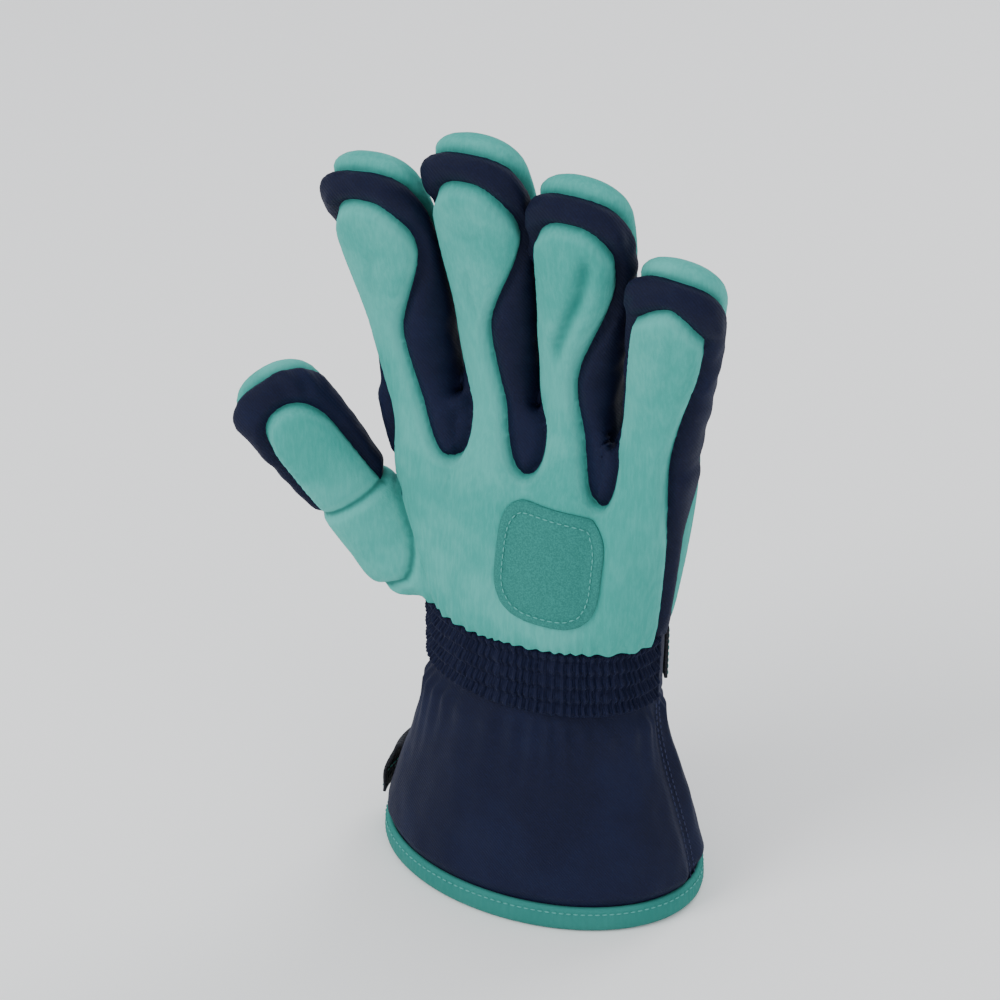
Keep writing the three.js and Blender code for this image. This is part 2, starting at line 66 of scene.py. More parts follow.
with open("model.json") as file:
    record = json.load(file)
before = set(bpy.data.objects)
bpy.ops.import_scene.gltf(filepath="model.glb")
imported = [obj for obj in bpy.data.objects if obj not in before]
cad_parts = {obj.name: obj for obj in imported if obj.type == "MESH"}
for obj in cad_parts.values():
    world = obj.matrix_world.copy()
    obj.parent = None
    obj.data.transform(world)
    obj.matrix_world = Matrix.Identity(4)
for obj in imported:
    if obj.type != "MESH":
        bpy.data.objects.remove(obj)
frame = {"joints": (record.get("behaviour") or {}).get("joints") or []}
CAD_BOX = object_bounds()
JOINTS = {joint["name"]: joint for joint in frame["joints"]}
FINGERS = ("index", "middle", "ring", "little")
MM = 0.001


# ---- Sizes and colours that a user would change ---------------------------------------------------------------


def length_property(name, description, default, low=0.0, high=0.2):
    return bpy.props.FloatProperty(
        name=name, description=description, default=default, min=low, max=high, subtype="DISTANCE", unit="LENGTH"
    )


def colour_property(name, description, default):
    return bpy.props.FloatVectorProperty(
        name=name, description=description, default=default, size=3, min=0, max=1, subtype="COLOR"
    )


class GloveColours(bpy.types.PropertyGroup):
    """Linear colours of the glove's cloths and trims."""

    teal: colour_property("Teal", "Front and back panels", (0.034, 0.285, 0.245))
    # Light teal is also the colour of the painted highlight on the raised rims beside the seams.
    teal_light: colour_property("Light teal", "Where the teal cloth's nap is brushed up", (0.085, 0.40, 0.355))
    navy: colour_property("Navy", "Gussets and cuff", (0.0018, 0.0032, 0.016))
    navy_light: colour_property("Light navy", "Raised threads of the navy cloth", (0.005, 0.009, 0.036))
    fleece: colour_property("Fleece", "Lining", (0.008, 0.013, 0.04))
    webbing: colour_property("Webbing", "Wrist strap and pull tab", (0.008, 0.009, 0.014))
    plastic: colour_property("Plastic", "Strap ring", (0.006, 0.006, 0.008))
    floor: colour_property("Floor", "The studio's floor", (0.93, 0.93, 0.92))


class GloveSizes(bpy.types.PropertyGroup):
    """Sizes of the glove's cut and padding."""

    seam_depth: length_property("Seam depth", "How far a seam is sunk into the padding", 0.0017)
    seam_width: length_property("Seam width", "Half-width of the valley along a seam", 0.0017)
    puff: length_property("Puff", "How far the padding swells between seams", 0.0022)
    puff_reach: length_property("Puff reach", "Distance from a seam at which the padding is full", 0.006)
    cloth: length_property("Cloth", "Thickness of the shell cloth", 0.0010)
    stitch: length_property("Stitch", "Length of one stitch", 0.0026)


# ---- Cut of the glove -----------------------------------------------------------------------------------------

# Half-sizes of the sleeve's oval, and its axis.
WRIST = np.array([45, 29]) * MM
HEM = np.array([62, 42]) * MM
AXIS = np.array([17.843, 0.119]) * MM
CUFF_TOP = 84 * MM
WRIST_TOP = 112 * MM
HEM_TAPE = 9 * MM
SIDE_ARC = 17  # degrees of the wrist's oval on each side that belong to neither the palm nor the back
PALM_BULGE = 5 * MM
PALM_CUP = 5 * MM
ROW_HALF = 44.25 * MM  # from the middle of the finger row to its outer fingers

DIGIT_EDGE = (9.5 * MM, 6.4 * MM)  # half of the digit's side, at the root and at the tip
DIGIT_CROWN = 4.2 * MM
HALF_CLOTH = 0.7 * MM
SIDE_SHARE = 0.7  # of a digit's outline that is its side, and the rest is its tip
TIP_POWER = 2.4

FINGER_CUTS = {
    # length, root and tip width; the front panel's half-width, neck, neck's height, sweep, top's and sides' height
    "index": (92, 27, 30.5, 15.0, 7.2, 25, -4.5, 20, 2),
    "middle": (100, 27, 31, 15.6, 7.2, 29, -5.5, 21, 2),
    "ring": (95, 27, 30.5, 14.6, 7.8, 18, -6.0, 17, 6),
    "little": (82, 25, 28, 12.9, 9.6, 8, -1.5, 13, 6),
}
PANEL_END = 8 * MM  # from the top of a front panel to the finger's tip
PANEL_POWER = {"index": 2.2, "middle": 2.2, "ring": 2.3, "little": 1.45, "thumb": 2.2}
WEB_DROP = 22 * MM  # how far the navy runs down into the palm between two fingers
WEB_HALF = 14.75 * MM
DIGIT_START = 2.5 * MM  # where a finger's own pieces begin, above its hinge
THUMB_START = 6 * MM
BEND_SPAN = 13 * MM
PADDED_OUT = 1.3 * MM  # how far the padding pushes a digit out beyond its cut
HAND_HEIGHT = 86 * MM
HAND_EDGE = 4.5 * MM  # half of the navy strip's width on the hand's sides
THUMB_OVERLAP = 9 * MM  # how far the thumb's seams stop short of its base
DEEP_CREASE = 2.4 * MM  # at this depth the painted shade in a crease is at its darkest
SKIN_VOXEL = 1.3 * MM

KNUCKLE_HALF = 47 * MM
KNUCKLE_TALL = 10.5 * MM
KNUCKLE_HEIGHT = 180 * MM
KNUCKLE_MIDDLE = 18.5 * MM
KNUCKLE_ARC = 5.5 * MM  # how far its ends hang below its middle
KNUCKLE_HEM = 0.7 * MM
KNUCKLE_LOFT = 5.2 * MM


def smooth(t):
    t = np.clip(t, 0, 1)
    return t * t * (3 - 2 * t)


def lerp(a, b, t):
    return a + (b - a) * t


class Digit:
    """One finger or the thumb, in its own frame: X along its hinge, Y to the back and Z up it."""

    def __init__(self, name, length, root, tip, curl, forward=0.0):
        self.name = name
        self.length = length * MM
        self.root = root * MM
        self.tip = tip * MM
        self.curl = math.radians(curl)
        self.front = DIGIT_EDGE[0] + DIGIT_CROWN - HALF_CLOTH
        self.start = DIGIT_START if name != "thumb" else THUMB_START
        joint = JOINTS[f"{name}_bend"]
        self.body = joint["child"]
        tip_forward = Matrix.Rotation(math.radians(forward), 3, "X")
        axis = tip_forward.inverted() @ Vector(joint["axis"])
        turn = math.asin(axis.y)
        lean = math.atan2(-axis.z, axis.x)
        turned = tip_forward @ Matrix.Rotation(lean, 3, "Y") @ Matrix.Rotation(turn, 3, "Z")
        self.place = Matrix.Translation(Vector(joint["pos_m"])) @ turned.to_4x4()
        q = np.linspace(0, 1, 200)
        self.table = self.outline(q)

    def outline(self, q):
        """Distance along and half-width at share q of the outline, up the side and round the tip."""
        side = self.length - self.tip / 2
        t = np.clip(q / SIDE_SHARE, 0, 1)
        angle = np.clip((q - SIDE_SHARE) / (1 - SIDE_SHARE), 0, 1) * math.pi / 2
        rise = np.sin(angle) ** (2 / TIP_POWER)
        run = np.clip(np.cos(angle), 0, 1) ** (2 / TIP_POWER)
        straight = lerp(self.root / 2, self.tip / 2, smooth(t))
        return np.where(q <= SIDE_SHARE, t * side, side + self.tip / 2 * rise), np.where(
            q <= SIDE_SHARE, straight, self.tip / 2 * run
        )

    def half(self, along):
        """Half-width at a distance along, with the tip's arc left out."""
        return np.interp(along, self.table[0][:140], self.table[1][:140])

    def depth(self, along):
        """Half-thickness over the digit's middle."""
        share = np.clip(along / self.length, 0, 1)
        return lerp(*DIGIT_EDGE, share**2) + DIGIT_CROWN * (1 - share**5)

    def at(self, x, y, along):
        """Points of the curled digit, in the glove's frame. Below its root it runs on straight."""
        turn = self.curl * np.maximum(along, 0) / self.length
        radius = self.length / self.curl
        up = radius * np.sin(turn) + y * np.sin(turn) + np.minimum(along, 0)
        local = np.stack([x, self.front - radius + (radius + y) * np.cos(turn), up], axis=-1)
        matrix = np.array(self.place)
        return local @ matrix[:3, :3].T + matrix[:3, 3]

    def within(self, points):
        """x, y and distance along of points, the other way round."""
        matrix = np.array(self.place.inverted())
        x, across, up = (points @ matrix[:3, :3].T + matrix[:3, 3]).T
        radius = self.length / self.curl
        reach = across - self.front + radius
        bent = up > 0
        y = np.where(bent, np.hypot(up, reach) - radius, across - self.front)
        return x, y, np.where(bent, np.arctan2(up, reach) * radius, up)

    def tube(self, inset, below, rings=30, sides=36):
        """A closed tube that fills the digit inside an inset, from below its root to its tip."""
        heights = np.concatenate([np.linspace(-below, 0, 8)[:-1], np.zeros(rings)])
        q = np.concatenate([np.zeros(7), np.linspace(0, 0.985, rings)])
        along, half = self.outline(q)
        full_out = PADDED_OUT * smooth((along - 20 * MM) / (50 * MM)) if inset == 0 else 0
        half = half - inset + full_out
        top = self.length - inset
        along = np.minimum(along + heights, top)
        full = np.where(q > SIDE_SHARE, self.tip / 2 - inset + full_out, half)
        depth = (self.depth(along) - inset + full_out * 0.6) * np.clip(half / full, 0, 1) ** 0.6
        taper = 1 - 0.4 * smooth((-along - 10 * MM) / (below - 10 * MM)) if self.name == "thumb" else 1
        half, depth = half * taper, depth * taper
        angle = np.arange(sides) / sides * 2 * math.pi
        round_x = np.sign(np.cos(angle)) * np.abs(np.cos(angle)) ** 0.84
        round_y = np.sign(np.sin(angle)) * np.abs(np.sin(angle)) ** 0.84
        x = half[:, None] * round_x
        y = depth[:, None] * round_y
        return self.at(x, y, np.repeat(along[:, None], sides, axis=1))


def all_digits():
    made = [Digit(name, *FINGER_CUTS[name][:3], curl=27) for name in FINGERS]
    made.append(Digit("thumb", 62, 29, 31, curl=18, forward=12))
    return made


DIGITS = all_digits()
THUMB = DIGITS[-1]


def sleeve(angle, z, inset):
    """Points of the cuff and wrist at angles, in degrees, round their oval."""
    share = 1 - smooth(np.asarray(z) / CUFF_TOP)
    size = [lerp(WRIST[k], HEM[k], share) - inset for k in (0, 1)]
    turn = np.radians(angle)
    flat = [AXIS[0] + size[0] * np.cos(turn), AXIS[1] + size[1] * np.sin(turn)]
    return np.stack(np.broadcast_arrays(*flat, z), axis=-1)


def hand_rings(inset, low, steps=16):
    """Rings up the hand, from the wrist to the fingers' roots, as one array."""
    stops = [(digit, a) for digit in DIGITS[:4] for a in (-1, -0.5, 0, 0.5, 1)]
    last = len(stops) - 1

    def root(side, stop):
        digit, a = stops[stop]
        swell = DIGIT_EDGE[0] + DIGIT_CROWN * (1 - abs(a) ** 2.2) - inset
        trim = inset if stop in (0, last) else 0
        local = Vector((a * (digit.root / 2 - trim), digit.front + side * swell, -0.8 * MM))
        return np.array(digit.place @ local)

    def side_points(side):
        digit = DIGITS[0] if side < 0 else DIGITS[3]
        made = []
        for b in (-0.6, 0, 0.6) if side > 0 else (0.6, 0, -0.6):
            angle = (180 - SIDE_ARC * b) if side < 0 else SIDE_ARC * b
            out = digit.root / 2 - inset + 1.5 * MM * (1 - b * b)
            high = digit.place @ Vector((side * out, digit.front + b * DIGIT_EDGE[0], -0.8 * MM))
            made.append((sleeve(angle, low, inset), np.array(high), 0.0))
        return made

    columns = []
    for i in range(last + 1):
        u = i / last
        angle = 180 + SIDE_ARC + u * (180 - 2 * SIDE_ARC)
        columns.append((sleeve(angle, low, inset), root(-1, i), -math.sqrt(math.sin(math.pi * u))))
    columns += side_points(1)
    for i in range(last, -1, -1):
        u = i / last
        angle = 180 - SIDE_ARC - u * (180 - 2 * SIDE_ARC)
        columns.append((sleeve(angle, low, inset), root(1, i), math.sqrt(math.sin(math.pi * u))))
    columns += side_points(-1)
    rings = []
    for t in np.linspace(0, 1, steps):
        ring = np.array([lerp(a, b, t) for a, b, _ in columns])
        ring[:, 1] += PALM_BULGE * math.sin(math.pi * t) * np.array([c for *_, c in columns])
        rings.append(ring)
    return np.array(rings)


# ---- Mesh making ----------------------------------------------------------------------------------------------


def new_object(name, mesh):
    made = bpy.data.objects.new(name, mesh)
    bpy.context.scene.collection.objects.link(made)
    return made


def mesh_from(name, points, faces):
    mesh = bpy.data.meshes.new(name)
    mesh.from_pydata([tuple(p) for p in points], [], [tuple(int(i) for i in f) for f in faces])
    mesh.validate()
    return mesh


def faces_out(mesh, merge=None):
    """Turns a mesh's faces outward, after its doubled points are merged if a distance is given."""
    edit = bmesh.new()
    edit.from_mesh(mesh)
    if merge:
        bmesh.ops.remove_doubles(edit, verts=edit.verts, dist=merge)
    bmesh.ops.recalc_face_normals(edit, faces=edit.faces)
    edit.to_mesh(mesh)
    edit.free()


def shade_smooth(mesh):
    mesh.polygons.foreach_set("use_smooth", np.ones(len(mesh.polygons), dtype=bool))


def tree_of(points, triangles):
    return BVHTree.FromPolygons([tuple(p) for p in points], [tuple(int(i) for i in t) for t in triangles])


def tube_faces(rings, sides, start=0):
    """Quads of a closed tube whose ends are fans round two more points, and the index of the first of those."""
    faces = []
    for r in range(rings - 1):
        for c in range(sides):
            d = (c + 1) % sides
            low, high = start + r * sides, start + (r + 1) * sides
            faces.append((low + c, low + d, high + d, high + c))
    ends = start + rings * sides
    for c in range(sides):
        d = (c + 1) % sides
        faces.append((start + d, start + c, ends))
        faces.append((ends - sides + c, ends - sides + d, ends + 1))
    return faces


def closed_tubes(name, tubes):
    """One object of several closed tubes, each an array of rings."""
    points, faces = [], []
    for tube in tubes:
        start = len(points)
        flat = tube.reshape(-1, 3)
        faces += tube_faces(tube.shape[0], tube.shape[1], start)
        points += list(flat) + [tube[0].mean(axis=0), tube[-1].mean(axis=0)]
    made = new_object(name, mesh_from(name, points, faces))
    faces_out(made.data)
    return made


def applied(piece):
    """Replaces a piece's mesh with what its modifiers make of it."""
    graph = bpy.context.evaluated_depsgraph_get()
    mesh = bpy.data.meshes.new_from_object(piece.evaluated_get(graph))
    piece.modifiers.clear()
    old = piece.data
    piece.data = mesh
    mesh.name = piece.name
    bpy.data.meshes.remove(old)
    return piece


def arrays(mesh):
    """Points and triangles of a mesh."""
    mesh.calc_loop_triangles()
    points = np.empty(len(mesh.vertices) * 3)
    mesh.vertices.foreach_get("co", points)
    triangles = np.empty(len(mesh.loop_triangles) * 3, dtype=np.int64)
    mesh.loop_triangles.foreach_get("vertices", triangles)
    return points.reshape(-1, 3), triangles.reshape(-1, 3)


def edges_of(triangles):
    pairs = np.concatenate([triangles[:, [0, 1]], triangles[:, [1, 2]], triangles[:, [2, 0]]])
    return np.unique(np.sort(pairs, axis=1), axis=0)


def relaxed(points, triangles, rounds, strength=0.5, weight=None):
    """Points moved towards the middle of their neighbours."""
    edges = edges_of(triangles)
    count = np.bincount(edges.ravel(), minlength=len(points))[:, None]
    share = strength if weight is None else strength * weight[:, None]
    for _ in range(rounds):
        total = np.zeros_like(points)
        for k in range(3):
            total[:, k] = np.bincount(edges[:, 0], points[edges[:, 1], k], len(points))
            total[:, k] += np.bincount(edges[:, 1], points[edges[:, 0], k], len(points))
        points = points + share * (total / np.maximum(count, 1) - points)
    return points


def normals_of(points, triangles):
    a, b, c = (points[triangles[:, k]] for k in range(3))
    face = np.cross(b - a, c - a)
    total = np.zeros_like(points)
    for k in range(3):
        for axis in range(3):
            total[:, axis] += np.bincount(triangles[:, k], face[:, axis], len(points))
    return total / np.maximum(np.linalg.norm(total, axis=1, keepdims=True), 1e-12)


def cut_along(points, triangles, labels, field, snap=0.12 * MM):
    """Splits triangles where field changes sign. Returns points, triangles, their labels with one more column that
    says where field is positive, and the field at the points, which is 0 on the cut."""
    field = np.where(np.abs(field) < snap, 0, field)
    sign = np.sign(field)[triangles]
    crossing = (sign.max(axis=1) > 0) & (sign.min(axis=1) < 0)
    kept = triangles[~crossing]
    kept_in = np.where(sign[~crossing].max(axis=1) > 0, 1, 0)
    made, made_in, made_from = [], [], []
    new_points, seen = [], {}
    total = len(points)

    def between(i, j):
        key = (i, j) if i < j else (j, i)
        if key not in seen:
            t = field[i] / (field[i] - field[j])
            seen[key] = total + len(new_points)
            new_points.append((i, j, t))
        return seen[key]

    for row in np.nonzero(crossing)[0]:
        a, b, c = (int(v) for v in triangles[row])
        for _ in range(3):  # turns the triangle until a stands alone on its side, or b lies on the cut
            fa, fb, fc = field[a], field[b], field[c]
            if (fa * fb < 0 and fa * fc < 0) or (fb == 0 and fa * fc < 0):
                break
            a, b, c = b, c, a
        fa = field[a]
        ac = between(a, c)
        if field[b] == 0:
            pieces = [((a, b, ac), fa > 0), ((b, c, ac), fa < 0)]
        else:
            ab = between(a, b)
            pieces = [((a, ab, ac), fa > 0), ((ab, b, c), fa < 0), ((ab, c, ac), fa < 0)]
        for piece, inside in pieces:
            made.append(piece)
            made_in.append(inside)
            made_from.append(row)
    if new_points:
        i, j, t = (np.array(v) for v in zip(*new_points))
        t = t[:, None]
        points = np.concatenate([points, points[i] * (1 - t) + points[j] * t])
        triangles = np.concatenate([kept, np.array(made)])
        inside = np.concatenate([kept_in, np.array(made_in, dtype=int)])
        labels = np.concatenate([labels[~crossing], labels[np.array(made_from)]])
    else:
        inside = kept_in
    field = np.concatenate([field, np.zeros(len(points) - len(field))])
    return points, triangles, np.column_stack([labels, inside]), field


def shell_mesh(name, points, normals, triangles, thickness, fields=None):
    """A closed sheet of cloth: triangles on the outside, the same ones inwards by a thickness, and a rim between."""
    used, packed = np.unique(triangles, return_inverse=True)
    packed = packed.reshape(-1, 3)
    n = len(used)
    outer, up = points[used], normals[used]
    every = np.concatenate([outer, outer - up * thickness])
    pairs = np.concatenate([packed[:, [0, 1]], packed[:, [1, 2]], packed[:, [2, 0]]])
    _, index, count = np.unique(np.sort(pairs, axis=1), axis=0, return_index=True, return_counts=True)
    rim = pairs[index[count == 1]]
    faces = [tuple(t) for t in packed] + [tuple(t) for t in packed[:, ::-1] + n]
    faces += [(b, a, a + n, b + n) for a, b in rim]
    mesh = mesh_from(name, every, faces)
    for key, values in (fields or {}).items():
        attribute = mesh.attributes.new(key, "FLOAT", "POINT")
        attribute.data.foreach_set("value", np.concatenate([values[used], values[used]]))
    shade_smooth(mesh)
    loops = np.empty(len(mesh.loops), dtype=np.int64)
    mesh.loops.foreach_get("vertex_index", loops)
    custom = np.concatenate([up, -up])[loops]
    rim_start = 6 * len(packed)
    flat = np.empty(len(mesh.polygons) * 3)
    mesh.polygons.foreach_get("normal", flat)
    rim_normals = flat.reshape(-1, 3)[2 * len(packed) :]
    if len(rim_normals):
        custom[rim_start:] = np.repeat(rim_normals, 4, axis=0)
    mesh.normals_split_custom_set(custom.tolist())
    return mesh


# ---- The skin: fields that draw the seams ---------------------------------------------------------------------


def nearest_digit(points):
    """For each point, which finger's column it stands in, its x, y and distance along in that finger's frame, and the
    next finger's x and distance along."""
    found = [digit.within(points) for digit in DIGITS[:4]]
    share = np.array([np.abs(x) / digit.half(s) for digit, (x, _, s) in zip(DIGITS, found)])
    pick = share.argmin(axis=0)
    rows = np.arange(len(points))
    stacked = np.array(found)
    share[pick, rows] = np.inf
    other = share.argmin(axis=0)
    beside = stacked[other, 0, rows], stacked[other, 2, rows]
    return pick, *(stacked[pick, k, rows] for k in range(3)), beside


def in_thumb(points):
    """How far inside the thumb's column points are, with its x, y and distance along."""
    x, y, s = THUMB.within(points)
    reach = np.sqrt((x / THUMB.half(s)) ** 2 + (y / THUMB.depth(s)) ** 2)
    return x, y, s, (1.32 - reach) * 14 * MM


def lean(digit, s):
    """How far a front panel's narrow part stands to one side, fading out below the hinge."""
    neck_at, sweep = (v * MM for v in FINGER_CUTS[digit.name][5:7])
    return sweep * smooth((s + 16 * MM) / (neck_at + 16 * MM))


def teardrop(digit, x, y, s):
    """A finger's front panel: wide below the tip and swept to a narrow neck, above the hinge."""
    width, neck, neck_at, _, top, straight = (v * MM for v in FINGER_CUTS[digit.name][3:])
    wide_at = digit.length - PANEL_END - top
    narrow_at = wide_at - straight
    m = s + np.clip(y + digit.depth(s), 0, 8 * MM) * smooth((s - wide_at) / top)
    closing = smooth((m - neck_at) / (narrow_at - neck_at))
    middle = lean(digit, s) * (1 - smooth((m - neck_at) / (narrow_at - neck_at)))
    side = np.abs(x - middle)
    power = PANEL_POWER[digit.name]
    rise = np.clip((m - wide_at) / top, 0, None)
    round_top = (1 - ((side / width) ** power + rise**power) ** (1 / power)) * width
    return np.where(m > wide_at, round_top, lerp(neck, width, closing) - side)


def seam_fields(points):
    """Signed distances, positive inside: front panels, back panels, the digits, and the thumb's base."""
    pick, x, y, s, beside = nearest_digit(points)
    height = np.clip((points[:, 2] - WRIST_TOP) / HAND_HEIGHT, 0, 1)
    row = (points[:, 0] / ROW_HALF) ** 2
    hand_y = points[:, 1] - AXIS[1] + PALM_CUP * row * height
    on_hand = smooth((-4 * MM - s) / (26 * MM))
    level = lerp(y, hand_y, on_hand)
    front = np.full(len(points), -1.0)
    back = np.full(len(points), -1.0)
    for i, digit in enumerate(DIGITS[:4]):
        mine = pick == i
        neck = FINGER_CUTS[digit.name][4] * MM
        across = np.abs(x - lean(digit, s))
        web = (np.abs(beside[0] - lean(digit, s)) - across) / 2  # from the line half way to the next finger
        drop = lerp((s + beside[1]) / 2, s, np.clip(web / (WEB_HALF - neck), 0, 1))
        down = np.clip(-drop / WEB_DROP, 0, 1)
        web = web - (WEB_HALF - neck) * np.sqrt(1 - down**2) + np.maximum(0, -drop - WEB_DROP)
        closed = x < 0 if i == 0 else x > 0 if i == 3 else np.zeros(len(x), dtype=bool)
        outer = lerp(neck, digit.root / 2 + 1 * MM, smooth(-s / (46 * MM))) - across
        shape = lerp(neck - across, np.where(closed, outer, web), smooth(-s / (5 * MM)))
        shape = np.where(s > 0, teardrop(digit, x, y, s), shape)
        front = np.where(mine, np.minimum(shape, -level - lerp(3 * MM, HAND_EDGE, on_hand)), front)
        share = np.clip(s / digit.length, 0, 1)
        back = np.where(mine, level - lerp(lerp(6.5, -1.0, share**4) * MM, HAND_EDGE, on_hand), back)
    digits = np.where(s > -20 * MM, s - DIGIT_START, -1)
    tx, ty, ts, inside = in_thumb(points)
    on_thumb = inside > 0
    m = ts + np.clip(ty + THUMB.depth(ts), 0, 8 * MM)
    end, top, width = THUMB.length - PANEL_END, 15 * MM, 12.6 * MM
    rise = np.clip((m - end + top) / top, 0, None)
    shape = (1 - ((np.abs(tx) / width) ** 2.2 + rise**2.2) ** (1 / 2.2)) * width
    shape = np.minimum(shape, -ty - 3 * MM)
    back_thumb = ty - lerp(5.5, 0.5, np.clip(ts / THUMB.length, 0, 1) ** 3) * MM
    joined = THUMB_START - THUMB_OVERLAP - ts  # both panels and the gussets between them end on the thumb's base
    front = np.where(on_thumb, np.maximum(shape, joined), front)
    back = np.where(on_thumb, np.where(ts > THUMB_START - THUMB_OVERLAP, back_thumb, -1.0), back)
    thumb = np.minimum(ts - THUMB_START, inside)
    low = np.clip(-ts / (44 * MM), 0, 1.2)
    base = np.minimum(inside - 1.5 * MM - 15 * MM * low**3, THUMB_START - ts)
    digits = np.where(on_thumb, -1, digits)
    return front, back, digits, thumb, base


def base_skin(inset, voxel, below=24 * MM):
    """The hand and its digits as one closed mesh, remeshed and relaxed. Returns points and triangles."""
    tubes = [digit.tube(inset, below if digit is not THUMB else 40 * MM) for digit in DIGITS]
    rings = hand_rings(inset, WRIST_TOP - 6 * MM)
    thenar = []
    for t in np.linspace(0.02, 0.98, 18):  # the swell of the palm below the thumb
        angle = np.arange(24) / 24 * 2 * math.pi
        wide = math.sin(math.pi * t**1.6) ** 0.8
        x = (15.5 * MM - inset) * wide * np.cos(angle)
        y = (14 * MM - inset) * wide * np.sin(angle)
        thenar.append(THUMB.at(x, y, np.full(24, lerp(-66, 2, t) * MM)))
    whole = closed_tubes("skin", [*tubes, rings, np.array(thenar)])
    remesh = whole.modifiers.new("remesh", "REMESH")
    remesh.mode = "VOXEL"
    remesh.voxel_size = voxel
    applied(whole)
    points, triangles = arrays(whole.data)
    old = whole.data
    bpy.data.objects.remove(whole)
    bpy.data.meshes.remove(old)
    points = relaxed(points, triangles, 6)
    _, _, ts, inside = in_thumb(points)
    crease = np.exp(-((inside / (10 * MM)) ** 2)) * smooth((12 * MM - ts) / (8 * MM))
    end = smooth((-22 * MM - ts) / (12 * MM)) * smooth((inside + 16 * MM) / (8 * MM)) * (points[:, 0] < -20 * MM)
    return relaxed(points, triangles, 60, weight=np.maximum(crease, end)), triangles


